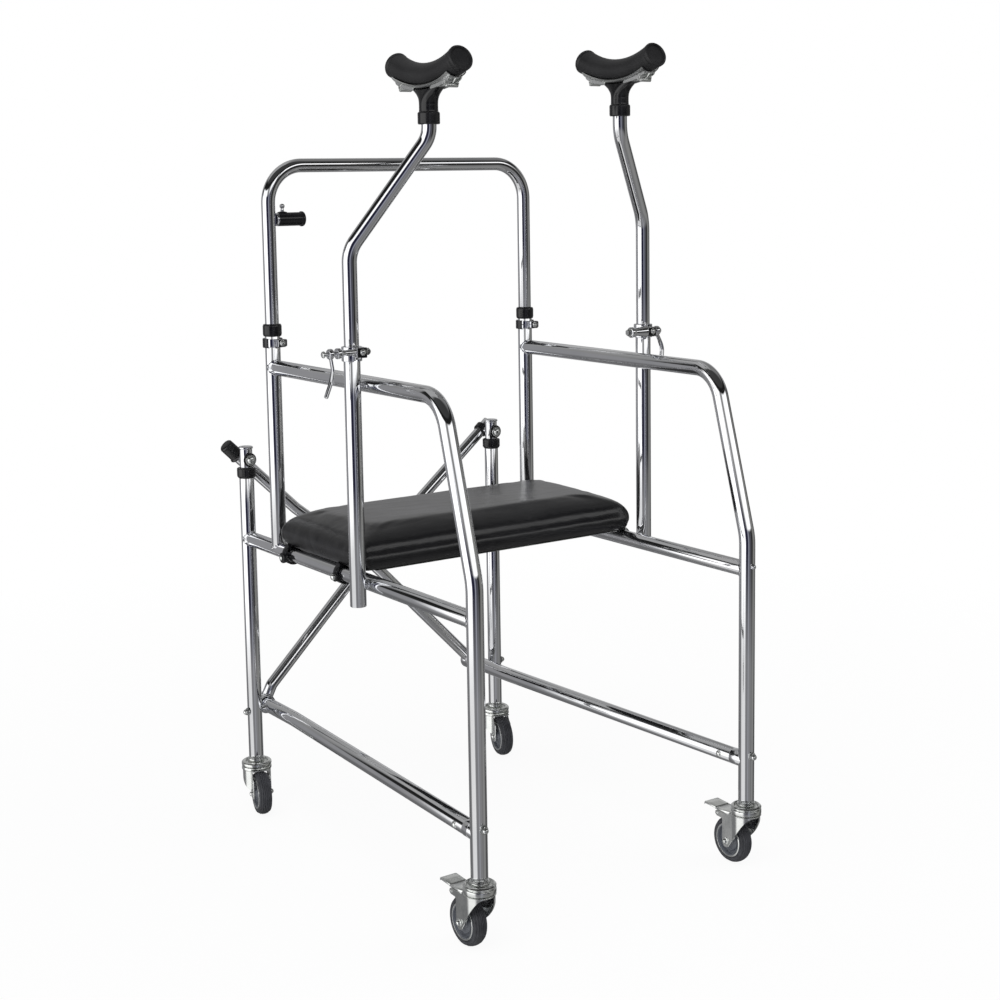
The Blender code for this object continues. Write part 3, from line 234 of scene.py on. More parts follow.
# Colour of the dark and light patches, metallic, range of roughness, scale of the patches, and the
# scale, strength and depth of the grain
FINISHES = {
    "chrome_tube": surface(
        "chrome_finish", (0.82, 0.83, 0.85), (0.90, 0.90, 0.91), 1.0, (0.045, 0.085), 9, (120, 0.05, 0.0004)
    ),
    "zinc_plate": surface(
        "zinc_finish", (0.80, 0.82, 0.80), (0.90, 0.91, 0.89), 1.0, (0.17, 0.25), 55, (380, 0.05, 0.0003)
    ),
    "black_plastic": surface(
        "black_plastic_finish", (0.005, 0.005, 0.006), (0.009, 0.009, 0.010), 0.0, (0.14, 0.24), 30,
        (500, 0.08, 0.0003),
    ),
    "pad_foam": surface(
        "pad_foam_finish", (0.008, 0.008, 0.009), (0.014, 0.014, 0.015), 0.0, (0.42, 0.52), 22,
        (1400, 0.20, 0.0003),
    ),
    "tyre_rubber": surface(
        "tyre_rubber_finish", (0.030, 0.031, 0.036), (0.052, 0.054, 0.062), 0.0, (0.42, 0.60), 80,
        (700, 0.22, 0.0004),
    ),
    "hub_plastic": surface(
        "hub_plastic_finish", (0.11, 0.12, 0.14), (0.17, 0.18, 0.20), 0.0, (0.30, 0.42), 60,
        (300, 0.10, 0.0003),
    ),
    "vinyl": surface("vinyl_finish", (0.004, 0.004, 0.005), (0.007, 0.007, 0.008), 0.0, (0.26, 0.34), 6),
}
VINYL_SHADER = FINISHES["vinyl"].node_tree.nodes["Principled BSDF"]
feed(FINISHES["vinyl"].node_tree, VINYL_SHADER, Coat_Weight=0.5, Coat_Roughness=0.24)


# Outlines, paths and the solids made from them

def cross_axes(direction):
    """Two unit vectors square to a direction."""
    along = Vector(direction).normalized()
    side = along.cross(UP if abs(along.z) < 0.9 else RIGHT).normalized()
    return side, side.cross(along).normalized()


def circle(centre, side, up, radius, count, shift=0.0):
    """Points round a centre in the plane of two unit vectors."""
    angles = [math.tau * (index + shift) / count for index in range(count)]
    return [centre + (side * math.cos(a) + up * math.sin(a)) * radius for a in angles]


def rectangle(left, right, low, high):
    return [(left, low), (right, low), (right, high), (left, high)]


def heading(path, index):
    """Direction of a path at one of its points."""
    return (path[min(index + 1, len(path) - 1)] - path[max(index - 1, 0)]).normalized()


def bridge(shape, lower, upper):
    """Faces between two rings of one shape; a ring of one point gives triangles."""
    count = max(len(lower), len(upper))
    for index in range(count):
        following = (index + 1) % count
        corners = (
            lower[index % len(lower)], lower[following % len(lower)],
            upper[following % len(upper)], upper[index % len(upper)],
        )
        shape.faces.new(list(dict.fromkeys(corners)))


def loft(rings, loop=False):
    """A closed skin over rings of points; a ring of one point is a tip."""
    shape = bmesh.new()
    rows = [[shape.verts.new(point) for point in ring] for ring in rings]
    for lower, upper in zip(rows, rows[1:]):
        bridge(shape, lower, upper)
    if loop:
        bridge(shape, rows[-1], rows[0])
    else:
        for row in (rows[0], rows[-1]):
            if len(row) > 2:
                shape.faces.new(row)
    bmesh.ops.recalc_face_normals(shape, faces=shape.faces)
    return shape


def soften(points, radius, closed=False, steps=3):
    """A flat outline with its corners rounded off."""
    points = [Vector(point) for point in points]
    rounded = []
    for index, corner in enumerate(points):
        if not closed and index in (0, len(points) - 1):
            rounded.append(corner)
            continue
        before = points[index - 1] - corner
        after = points[(index + 1) % len(points)] - corner
        reach = min(radius, before.length * 0.45, after.length * 0.45)
        first = corner + before.normalized() * reach
        last = corner + after.normalized() * reach
        for step in range(steps + 1):
            share = step / steps
            rounded.append(first.lerp(corner, share).lerp(corner.lerp(last, share), share))
    return rounded


def turned(profile, centre, axis=UP, sides=48, corner=0.0006):
    """A solid of revolution from (radius, height) points; without a point on the axis it is a ring."""
    along = Vector(axis).normalized()
    side, up = cross_axes(along)
    ring_shaped = min(radius for radius, _ in profile) > ON_AXIS
    if corner:
        profile = soften(profile, corner, ring_shaped)
    rings = []
    for radius, height in profile:
        at = Vector(centre) + along * height
        rings.append([at] if radius < ON_AXIS else circle(at, side, up, radius, sides, 0.5))
    return loft(rings, ring_shaped)


def rounded_path(corners, radii, step=math.radians(4)):
    """Points of a path with each inner corner turned into an arc."""
    corners = [Vector(corner) for corner in corners]
    path = [corners[0]]
    for index, radius in zip(range(1, len(corners) - 1), radii):
        before, corner, after = corners[index - 1 : index + 2]
        into = (corner - before).normalized()
        out = (after - corner).normalized()
        turn = into.angle(out)
        if turn < STRAIGHT:
            continue
        start = corner - into * radius * math.tan(turn / 2)
        centre = corner + (out - into).normalized() * (radius / math.cos(turn / 2))
        steps = max(4, round(turn / step))
        axis = into.cross(out).normalized()
        for number in range(steps + 1):
            path.append(centre + Matrix.Rotation(turn * number / steps, 3, axis) @ (start - centre))
    path.append(corners[-1])
    return path


def end_rows(point, radius, inward, kind, edge, wall, depth):
    """Centres and radii of the rings that close a tube's end, innermost first."""
    if kind == "open":
        rows = [(depth, radius - wall), (edge, radius - wall), (0, radius - wall + edge * 0.5),
                (0, radius - edge * 0.5), (edge, radius)]
    elif kind == "dome":
        angles = [math.radians(angle) for angle in (5, 25, 45, 65, 90)]
        rows = [(edge * (1 - math.cos(a)), radius - edge + edge * math.sin(a)) for a in angles]
    else:
        rows = [(0, radius - edge), (edge * 0.3, radius - edge * 0.3), (edge, radius)]
    return [(point + inward * reach, size) for reach, size in rows]


def sweep(path, radius, ends=("flat", "flat"), sides=40, edge=0.0007, wall=0.0014, depth=0.03):
    """A round bar or tube along a path; radius is one number or one for each point."""
    points = [Vector(point) for point in path]
    sizes = list(radius) if isinstance(radius, (list, tuple)) else [radius] * len(points)
    way = (points[1] - points[0]).normalized()
    last_way = (points[-1] - points[-2]).normalized()
    head = end_rows(points[0], sizes[0], way, ends[0], edge, wall, depth)
    tail = end_rows(points[-1], sizes[-1], -last_way, ends[1], edge, wall, depth)[::-1]
    rows = [(point, size, way) for point, size in head]
    rows += [(points[index], sizes[index], heading(points, index)) for index in range(1, len(points) - 1)]
    rows += [(point, size, last_way) for point, size in tail]
    side, up = cross_axes(way)
    rings = []
    for point, size, next_way in rows:
        turn = way.rotation_difference(next_way)
        side, up, way = turn @ side, turn @ up, next_way
        rings.append(circle(point, side, up, size, sides))
    return loft(rings)


def straight(start, end, radius, ends=("flat", "flat"), **more):
    return sweep([start, end], radius, ends, **more)


def plate(outline, origin, across, upward, thickness, corner=0.0, edge=0.0005):
    """A flat sheet with its rim eased, from an outline in the plane of two directions."""
    across = Vector(across).normalized()
    upward = Vector(upward).normalized()
    normal = across.cross(upward).normalized()
    flat = soften(outline, corner, True) if corner else [Vector(point) for point in outline]
    area = sum(a.x * b.y - b.x * a.y for a, b in zip(flat, flat[1:] + flat[:1]))
    turn = 1 if area > 0 else -1
    inner = []
    for index, point in enumerate(flat):
        before = (point - flat[index - 1]).normalized()
        after = (flat[(index + 1) % len(flat)] - point).normalized()
        way = (before + after).normalized()
        inner.append(point + Vector((-way.y, way.x)) * edge * turn)
    half = thickness / 2
    rows = ((inner, -half), (flat, edge - half), (flat, half - edge), (inner, half))
    return loft([
        [Vector(origin) + across * p.x + upward * p.y + normal * depth for p in row] for row, depth in rows
    ])


def sheet(grid, thickness):
    """A thin curved sheet through rows of points, given a thickness."""
    shape = bmesh.new()
    rows = [[shape.verts.new(point) for point in row] for row in grid]
    for lower, upper in zip(rows, rows[1:]):
        for index in range(len(lower) - 1):
            shape.faces.new((lower[index], lower[index + 1], upper[index + 1], upper[index]))
    bmesh.ops.recalc_face_normals(shape, faces=shape.faces)
    bmesh.ops.solidify(shape, geom=list(shape.faces), thickness=thickness)
    bmesh.ops.recalc_face_normals(shape, faces=shape.faces)
    return shape


def band(centre, inner, outer, low, high, first, last, corner=0.0008):
    """Part of a ring about a vertical axis, between two angles in degrees."""
    section = soften(rectangle(inner, outer, low, high), corner, True)
    steps = max(6, round(abs(last - first) / 5))
    rings = []
    for step in range(steps + 1):
        angle = math.radians(first + (last - first) * step / steps)
        out = Vector((math.cos(angle), math.sin(angle), 0))
        rings.append([Vector(centre) + out * radius + UP * height for radius, height in section])
    return loft(rings)


def weld(centre, main_way, main_r, branch_way, branch_r, bead=0.0015):
    """Rippled bead round a branch tube where it leaves a main tube."""
    main = Vector(main_way).normalized()
    along = Vector(branch_way).normalized()
    side = main.cross(along).normalized()
    steps = 72
    path = []
    for step in range(steps):
        angle = math.tau * step / steps
        out = side * math.sin(angle) * branch_r
        rise = math.sqrt(max(main_r**2 - (math.sin(angle) * branch_r) ** 2, 0.0))
        path.append(Vector(centre) + main * math.cos(angle) * branch_r + out + along * rise)
    rings = []
    hub = sum(path, Vector()) / steps
    for step, point in enumerate(path):
        way = (path[(step + 1) % steps] - path[step - 1]).normalized()
        outward = (point - hub).normalized()
        outward = (outward - way * outward.dot(way)).normalized()
        size = bead * (1 + 0.20 * math.sin(step * 1.9) + 0.12 * math.sin(step * 0.7))
        rings.append(circle(point, outward, way.cross(outward), size, 8))
    return loft(rings, True)


def seam(start, end, radius, steps=14):
    """A short rippled run of weld."""
    path = [Vector(start).lerp(Vector(end), step / steps) for step in range(steps + 1)]
    sizes = []
    for step in range(steps + 1):
        swell = math.sin(math.pi * (step + 0.8) / (steps + 1.6)) ** 0.5
        sizes.append(radius * swell * (1 + 0.10 * math.sin(step * 2.3)))
    return sweep(path, sizes, sides=14, edge=0.0003)


def hex_nut(at, out, across, height, washer=0.0, dome=0.0):
    """Hexagon with a washer under it and a dome or a chamfer on it, from a face outward."""
    seat = 0.0010
    top = seat + height
    corner_r = across / 2 / math.cos(math.pi / 6)
    solids = []
    if washer:
        solids.append(turned([(0, 0), (washer, 0), (washer, 0.0012), (0, 0.0012)], at, out, 32, 0.0003))
    hexagon = [(0, seat), (corner_r, seat), (corner_r, top - 0.0006), (corner_r * 0.88, top), (0, top)]
    solids.append(turned(hexagon, at, out, 6, 0.0))
    if dome:
        base = top - 0.0002
        angles = [math.radians(angle) for angle in range(0, 90, 12)]
        cap = [(across * 0.46 * math.cos(a), base + dome * math.sin(a)) for a in angles]
        solids.append(turned([(0, top - 0.0010), *cap, (0, base + dome)], at, out, 32, 0.0))
    return solids


def round_head(at, out, radius, height, recess=0.45, flange=0.0):
    """Low domed screw head with a sunk middle, from a face outward."""
    foot, shoulder = -0.0005, 0.0012
    profile = [(0, foot)]
    if flange:
        profile += [(flange, foot), (flange, 0.0009), (radius, 0.0011)]
    else:
        profile.append((radius, foot))
    for angle in range(0, 71, 10):
        turn = math.radians(angle)
        profile.append((radius * math.cos(turn), shoulder + (height - shoulder) * math.sin(turn)))
    hole = radius * recess
    profile += [(hole * 0.72, height * 0.98), (hole * 0.66, height * 0.60), (0, height * 0.60)]
    return turned(profile, at, out, 36, 0.0002)


def piece(name, solids, finish, body, replaced=None, sharp=32):
    """Joins solids into one object with a finish, on a body, in the place of a CAD node if one is named."""
    whole = bmesh.new()
    for solid in solids:
        part = bpy.data.meshes.new("part")
        solid.to_mesh(part)
        solid.free()
        whole.from_mesh(part)
        bpy.data.meshes.remove(part)
    bmesh.ops.translate(whole, verts=whole.verts, vec=OFFSET)
    mesh = bpy.data.meshes.new(name)
    whole.to_mesh(mesh)
    whole.free()
    mesh.shade_smooth()
    mesh.set_sharp_from_angle(angle=math.radians(sharp))
    mesh.materials.append(FINISHES[finish])
    obj = bpy.data.objects.new(name, mesh)
    bpy.context.scene.collection.objects.link(obj)
    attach(obj, body)
    if replaced:
        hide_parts(replaced)
    return obj


# Side frames

def side_frame(side, s):
    """Welded frame: rear leg that turns into the top rail, middle rail, front leg, post and outer tube."""
    x = s * HALF
    support_x = x + s * SUPPORT_OUT
    leg = [(x, 0, REAR_FOOT_Z), (x, 0, LEAN_Z), (x, LEAN_TOP_Y, TOP_Z), (x, POST_Y, TOP_Z)]
    support = [(support_x, SUPPORT_Y, z) for z in (SUPPORT_FOOT_Z[0 if s < 0 else 1], SUPPORT_TOP_Z)]
    solids = [
        sweep(rounded_path(leg, LEG_BEND_R), TUBE_R, ("open", "flat")),
        straight((x, 0, RAIL_Z), (x, FRONT_Y, RAIL_Z), TUBE_R - 0.0001),
        straight((x, FRONT_Y, FRONT_FOOT_Z), (x, FRONT_Y, LEG_TOP_Z), TUBE_R, ("open", "open")),
        straight((x, POST_Y, RAIL_Z), (x, POST_Y, POST_TOP_Z), TUBE_R, ("flat", "open")),
        straight(*support, TUBE_R, ("open", "open"), wall=TUBE_R - BORE_R + 0.0001),
    ]
    for y, z, main, branch in (
        (0, RAIL_Z, UP, FORWARD), (FRONT_Y, RAIL_Z, UP, -FORWARD), (POST_Y, RAIL_Z, FORWARD, UP),
        (POST_Y, TOP_Z, UP, -FORWARD),
    ):
        solids.append(weld((x, y, z), main, TUBE_R, branch, TUBE_R - 0.0004))
    for z in (RAIL_Z, TOP_Z):
        for turn in (-1, 1):
            seam_x = x + s * TUBE_R * 0.98
            seam_y = SUPPORT_Y + turn * 0.0078
            solids.append(seam((seam_x, seam_y, z - 0.0055), (seam_x, seam_y, z + 0.0045), 0.0034))
        solids.append(straight((x, SUPPORT_Y, z), (support_x, SUPPORT_Y, z), 0.0055, sides=20))
    if s > 0:
        solids += hex_nut((x, -TUBE_R + 0.0004, RAIL_Z + 0.006), -FORWARD, 0.0080, 0.0026, dome=0.0026)
    piece(side + "_side_frame_tubes", solids, "chrome_tube", side + "_frame", side + "_side_frame")


def lower_rail(side, s):
    """Lower rail with its end cap and screw at the rear, its spacer and its plug at the front."""
    x_rear = s * HALF
    x_front = s * (HALF - RAIL_INSET)
    x_spacer = s * (HALF - TUBE_R - 0.0006)
    end_y = BRACE_Y + SLEEVE_REACH + 0.0010
    corners = [(x_rear, 0.0015, LOW_Z), (x_front, FRONT_Y - 0.085, LOW_Z), (x_front, end_y, LOW_Z)]
    path = rounded_path(corners, [0.25])
    slope = (path[1] - path[0]).normalized()
    cap = rectangle(TUBE_R - 0.002, TUBE_R + 0.0003, -0.0135, 0.0)
    washer = rectangle(TUBE_R * 0.45, 0.0072, 0, 0.0022)
    solids = [
        sweep(path, TUBE_R),
        turned(cap, Vector((x_rear, 0.006, LOW_Z)) + slope * 0.021, slope, 48, 0.0002),
        straight((x_front, FRONT_Y, LOW_Z), (x_spacer, FRONT_Y, LOW_Z), 0.0055, sides=24),
        turned(washer, (x_front + s * (TUBE_R - 0.0004), FRONT_Y, LOW_Z), RIGHT * s, 32, 0.0004),
    ]
    piece(side + "_lower_rail_tube", solids, "chrome_tube", side + "_frame", side + "_lower_rail")
    plug_r = TUBE_R + 0.0015
    plug = [(0, -0.002), (plug_r, -0.0002), (plug_r, 0.0014), (0.0090, 0.0026), (0, 0.0034)]
    plug = turned(plug, (x_front, end_y, LOW_Z), FORWARD, 48, 0.0008)
    piece(side + "_lower_rail_plug", [plug], "black_plastic", side + "_frame")
    screw_at = (x_rear - s * 0.0026 - TUBE_R + 0.0006, 0.049, LOW_Z)
    screw = round_head(screw_at, -RIGHT, 0.0046, 0.0036, flange=0.0056)
    piece(side + "_lower_rail_screw", [screw], "zinc_plate", side + "_frame")


def rail_bolts(side, s):
    """Dome nuts on the outside of the front leg and on the back of the rear leg, with their bolts."""
    x = s * HALF
    for end, at, out in (
        ("front", Vector((x + s * (TUBE_R + GAP), FRONT_Y, LOW_Z)), RIGHT * s),
        ("rear", Vector((x, -TUBE_R - GAP, LOW_Z + 0.009)), -FORWARD),
    ):
        solids = hex_nut(at, out, 0.0100, 0.0040, washer=0.0070, dome=0.0040)
        solids.append(straight(at - out * 0.040, at + out * 0.002, BOLT_R, sides=16))
        name = f"{side}_rail_bolt_{end}"
        piece(name + "_nut", solids, "zinc_plate", side + "_frame", name)


def post_fittings(side, s):
    """Collar and split clamp ring on the post, with the clamp's plate and screw."""
    x = s * HALF
    low, high = POST_COLLAR_Z
    collar = [
        (TUBE_R + GAP, low), (0.0146, low), (0.0157, low + 0.0030), (0.0157, high - 0.0030), (0.0146, high),
        (BORE_R + 0.0001, high), (BORE_R + 0.0001, POST_TOP_Z + GAP), (TUBE_R + GAP, POST_TOP_Z + GAP),
    ]
    collar = turned(collar, (x, POST_Y, 0), UP, 64, 0.0016)
    piece(side + "_post_collar_shell", [collar], "black_plastic", side + "_frame", side + "_post_collar")
    low, high = POST_CLAMP_Z
    centre = (x, POST_Y, 0)
    plate_at = Vector((x + 0.0066, POST_Y - 0.0180, (low + high) / 2))
    lug = soften(rectangle(-0.0045, 0.0045, -0.0060, 0.0060), 0.0025, True)
    ring = [
        band(centre, TUBE_R + GAP, 0.0166, low, high, -52, 212, 0.0030),
        plate(lug, plate_at + Vector((0.0074, 0.0030, 0)), (0.45, -0.89, 0), UP, 0.0055, edge=0.0010),
    ]
    piece(side + "_post_clamp_ring", ring, "black_plastic", side + "_frame", side + "_post_clamp")
    face = soften(rectangle(-0.0075, 0.0075, -0.0066, 0.0066), 0.0018, True)
    bright = [
        band(centre, TUBE_R + GAP, TUBE_R + 0.0019, low + 0.0010, high - 0.0010, -150, -50, 0.0004),
        plate(face, plate_at, RIGHT, UP, 0.0070, edge=0.0007),
    ]
    piece(side + "_post_clamp_plate", bright, "chrome_tube", side + "_frame")
    screw = round_head(plate_at + Vector((0.0006, -0.0032, 0)), -FORWARD, 0.0042, 0.0040, flange=0.0050)
    piece(side + "_post_clamp_screw", [screw], "zinc_plate", side + "_frame")


def leg_collar(side, s):
    """Fluted end bushing on the front leg."""
    low, high = LEG_COLLAR_Z
    outer = TUBE_R + 0.0036
    profile = [
        (TUBE_R + GAP, low), (0.0136, low), (outer, low + 0.0034), (outer, high - 0.0012),
        (outer - 0.0012, high), (BORE_R, high), (BORE_R, LEG_TOP_Z + GAP), (TUBE_R + GAP, LEG_TOP_Z + GAP),
    ]
    flutes, flute_depth, steps = 16, 0.00034, 96
    rings = []
    for radius, height in soften(profile, 0.0010, True):
        ring = []
        for index in range(steps):
            angle = math.tau * index / steps
            wave = (0.5 + 0.5 * math.cos(angle * flutes)) ** 6
            cut = flute_depth * wave if radius > outer - 0.0009 else 0.0
            out = Vector((math.cos(angle), math.sin(angle), 0))
            ring.append(Vector((s * HALF, FRONT_Y, height)) + out * (radius - cut))
        rings.append(ring)
    shell = loft(rings, True)
    piece(side + "_leg_collar_shell", [shell], "black_plastic", side + "_frame", side + "_leg_collar")


# Folding gear

def slide_head(side, s):
    """Sliding rod with its capped head, saucer washer and pivot bolt."""
    low = LEG_COLLAR_Z[1] + GAP
    rod_end = HEAD_Z - 0.015 - ROD_LENGTH
    body = turned(
        [
            (0, rod_end), (ROD_R, rod_end), (ROD_R, low), (HEAD_R - 0.0008, low),
            (HEAD_R - 0.0008, HEAD_TOP_Z - 0.0046), (HEAD_R - 0.0018, HEAD_TOP_Z - 0.0040),
            (HEAD_R + 0.0006, HEAD_TOP_Z - 0.0034), (HEAD_R + 0.0006, HEAD_TOP_Z - 0.0010),
            (HEAD_R - 0.0004, HEAD_TOP_Z), (HEAD_R - 0.0030, HEAD_TOP_Z - 0.0002),
            (HEAD_R - 0.0038, HEAD_TOP_Z - 0.0009), (0, HEAD_TOP_Z - 0.0009),
        ],
        (s * HALF, FRONT_Y, 0), UP, 64, 0.0004,
    )
    at = Vector((s * HALF, FRONT_Y, HEAD_Z))
    brace_y = BRACE_Y - FRONT_Y
    reach = (BRACE_R if s < 0 else BOOT_R) + GAP
    shank = straight(at + FORWARD * (brace_y + reach + 0.001), at - FORWARD * 0.016, BOLT_R, sides=20)
    spacer = [(0, reach - brace_y), (0.0075, reach - brace_y), (0.0082, -0.0060), (0, -0.0060)]
    solids = [body, shank, turned(spacer, at, -FORWARD, 40, 0.0004)]
    piece(side + "_slide_head_body", solids, "chrome_tube", side + "_head", side + "_slide_head")
    washer = [
        (BOLT_R, HEAD_R - 0.0040), (0.0085, HEAD_R - 0.0020), (0.0112, HEAD_R + 0.0010),
        (0.0122, HEAD_R + 0.0034), (0.0116, HEAD_R + 0.0044), (BOLT_R, HEAD_R + 0.0044),
    ]
    washer = turned(washer, at, -FORWARD, 56, 0.0005)
    piece(side + "_slide_head_washer", [washer], "black_plastic", side + "_head")
    out = HEAD_R + 0.0042
    head = turned(
        [
            (0, out), (0.0090, out), (0.0095, out + 0.0009), (0.0093, out + 0.0028), (0.0078, out + 0.0038),
            (0.0066, out + 0.0036), (0.0060, out + 0.0048), (0.0046, out + 0.0066), (0.0028, out + 0.0072),
            (0.0022, out + 0.0060), (0, out + 0.0060),
        ],
        at, -FORWARD, 48, 0.0003,
    )
    nut = hex_nut(at + FORWARD * (brace_y + reach), FORWARD, 0.0100, 0.0035)
    piece(side + "_slide_head_bolt", [head] + nut, "zinc_plate", side + "_head")


def brace_line(s):
    """Corners of the brace from rail s, its head, the way and length of its end, and its bends."""
    step = BRACE_STEP if s < 0 else -BRACE_STEP
    x_low = s * (HALF - RAIL_INSET)
    head = Vector((-s * HALF, BRACE_Y, HEAD_Z))
    centre = Vector((0, BRACE_Y + step, CROSS_Z))
    if s < 0:
        foot = Vector((x_low + 0.0030, BRACE_Y, LOW_Z + 0.004))
        corners = [foot, foot + Vector((0.0135, 0, 0.0266)), centre]
        radii, past = [0.018, 0.300, 0.010], 0.020
    else:
        share = 0.584
        kink_z = CROSS_Z + (HEAD_Z - CROSS_Z) * share - 0.0108
        kink = Vector((-HALF * share, BRACE_Y + step * (1 - share), kink_z))
        corners = [Vector((x_low - 0.0040, BRACE_Y, LOW_Z + 0.004)), centre, kink]
        radii, past = [0.300, 0.120, 0.010], 0.025
    up = head - corners[-1]
    up.y = 0
    return corners, head, up.normalized(), past, radii


def brace(name, s):
    """Brace tube from the sleeve on rail s up to the head on the other side."""
    corners, head, up, past, radii = brace_line(s)
    at = Vector((s * (HALF - RAIL_INSET), BRACE_Y, LOW_Z))
    path = rounded_path(corners + [head, head + up * past], radii)
    sleeve = rectangle(TUBE_R + GAP, SLEEVE_R, -SLEEVE_REACH, SLEEVE_REACH)
    solids = [
        sweep(path, BRACE_R, ("flat", "open"), wall=0.0016, depth=0.008),
        turned(sleeve, at, FORWARD, 64, 0.0010),
        weld(at, FORWARD, SLEEVE_R, corners[1] - corners[0], BRACE_R),
    ]
    piece(name + "_tube", solids, "chrome_tube", name, name)


def brace_bolt():
    at = Vector((0, BRACE_Y, CROSS_Z))
    reach = FORWARD * (BRACE_STEP + BRACE_R + GAP)
    solids = [straight(at - reach, at + reach, BOLT_R, sides=20)]
    solids.append(round_head(at - reach, -FORWARD, 0.0056, 0.0050, flange=0.0078))
    solids += hex_nut(at + reach, FORWARD, 0.0098, 0.0035, washer=0.0078)
    piece("brace_centre_bolt_set", solids, "zinc_plate", "brace_a", "brace_centre_bolt")


def brace_ends():
    """Ribbed hand grip past the left head, black band round the brace at the right head."""
    inner = BRACE_R + GAP
    _, head, up, past, _ = brace_line(1)
    profile = [
        (0, past + GAP), (inner, past + GAP), (inner, 0.0010), (0.0136, 0.0010), (0.0144, 0.0020),
        (0.0143, 0.0036), (0.0130, 0.0048), (0.0118, 0.0056),
    ]
    ribs, first_rib, spacing = 10, 0.0062, 0.0022
    for rib in range(ribs):
        height = first_rib + rib * spacing
        profile += [(0.0119, height), (0.0125, height + 0.0005), (0.0125, height + 0.0013)]
        profile.append((0.0119, height + 0.0018))
    profile += [
        (0.0124, past + 0.0042), (0.0122, past + 0.0062), (0.0108, past + 0.0080), (0.0080, past + 0.0090),
        (0, past + 0.0092),
    ]
    grip = turned(profile, head, up, 56, 0.0003)
    piece("brace_hand_grip_sleeve", [grip], "black_plastic", "brace_b", "brace_hand_grip")
    _, head, up, _, _ = brace_line(-1)
    profile = [
        (inner, -0.0085), (BOOT_R - 0.0014, -0.0085), (BOOT_R, -0.0060), (BOOT_R, 0.0045),
        (BOOT_R - 0.0010, 0.0065), (inner, 0.0065),
    ]
    boot = turned(profile, head, up, 56, 0.0008)
    piece("brace_end_boot_cap", [boot], "black_plastic", "brace_a", "brace_end_boot")


# Hoop

def hoop():
    corners = [
        (-HALF, POST_Y, HOOP_LEG_BOTTOM_Z), (-HALF, POST_Y, HOOP_Z), (HALF, POST_Y, HOOP_Z),
        (HALF, POST_Y, POST_COLLAR_Z[1] + GAP),
    ]
    tube = sweep(rounded_path(corners, [HOOP_BEND_R, HOOP_BEND_R]), INNER_R, ("open", "flat"))
    piece("hoop_tube", [tube], "chrome_tube", "hoop", "hoop")


def hoop_grip():
    """Grip with its end flange, raised pin boss and chromed saddle, and the ball-headed pin."""
    at = Vector((-HALF + INNER_R, POST_Y, GRIP_Z))
    pin_at = at + RIGHT * 0.0140
    body = turned(
        [
            (0, 0.0036), (0.0104, 0.0036), (0.0112, 0.0050), (0.0112, GRIP_LENGTH - 0.0070),
            (0.0126, GRIP_LENGTH - 0.0052), (0.0126, GRIP_LENGTH - 0.0022), (0.0112, GRIP_LENGTH - 0.0004),
            (0, GRIP_LENGTH),
        ],
        at, RIGHT, 64, 0.0010,
    )
    angles = [math.tau * index / 40 for index in range(40)]
    boss = loft([
        [pin_at + Vector((math.cos(a) * reach, math.sin(a) * wide, height)) for a in angles]
        for reach, wide, height in (
            (0.0120, 0.0070, 0.0070), (0.0105, 0.0062, 0.0104), (0.0075, 0.0052, 0.0121),
            (0.0048, 0.0045, 0.0128), (0.0036, 0.0036, 0.0130),
        )
    ])
    piece("hoop_grip_body", [body, boss], "black_plastic", "hoop", "hoop_grip")
    rows = []
    saddle_r = INNER_R + GAP + 0.0010
    for degrees in range(-48, 49, 12):
        spread = math.radians(degrees)
        out = Vector((saddle_r * math.cos(spread) - INNER_R, saddle_r * math.sin(spread), 0))
        rows.append([at + out + UP * column * 0.0026 for column in range(-4, 5)])
    collar = [(0, 0.0012), (0.0094, 0.0012), (0.0108, 0.0030), (0.0108, 0.0044), (0, 0.0044)]
    solids = [sheet(rows, 0.0010), turned(collar, at, RIGHT, 56, 0.0006)]
    piece("hoop_grip_saddle", solids, "chrome_tube", "hoop")
    pin = turned(
        [
            (0, -0.0008), (0.0029, -0.0008), (0.0029, 0.0150), (0.0026, 0.0172), (0.0024, 0.0182),
            (0.0038, 0.0194), (0.0043, 0.0213), (0.0041, 0.0232), (0.0030, 0.0248), (0.0014, 0.0255),
            (0, 0.0256),
        ],
        pin_at, UP, 40, 0.0005,
    )
    piece("grip_pull_pin_stem", [pin], "chrome_tube", "pull_pin", "grip_pull_pin")


# Underarm supports

def arm_places(s):
    """Number of the side, X of the outer tube, and X and Y of the top of the inner tube."""
    x = s * (HALF + SUPPORT_OUT)
    return (0 if s < 0 else 1), x, x - s * ARM_INWARD, SUPPORT_Y - ARM_BACK


def underarm_tube(side, s):
    number, x, top_x, top_y = arm_places(s)
    corners = [
        (x, SUPPORT_Y, SUPPORT_BOTTOM_Z), (x, SUPPORT_Y, ARM_LOW_BEND_Z[number]),
        (top_x, top_y, ARM_TOP_BEND_Z[number]), (top_x, top_y, ARM_END_Z[number]),
    ]
    tube = sweep(rounded_path(corners, ARM_BEND_R), INNER_R, ("open", "flat"))
    piece(side + "_underarm_tube_bar", [tube], "chrome_tube", side + "_support", side + "_underarm_tube")


def pad_curve(s, reach, steps):
    """Centre line of the crescent pad, front to rear, as far as a share of its length."""
    number, _, x, y = arm_places(s)
    base = ARM_END_Z[number] + PAD_BASE + PAD_R
    points = []
    for step in range(steps + 1):
        along = (2 * step / steps - 1) * reach
        points.append(Vector((x, y - PAD_LENGTH * 0.465 * along, base + PAD_RISE * along * along)))
    return points


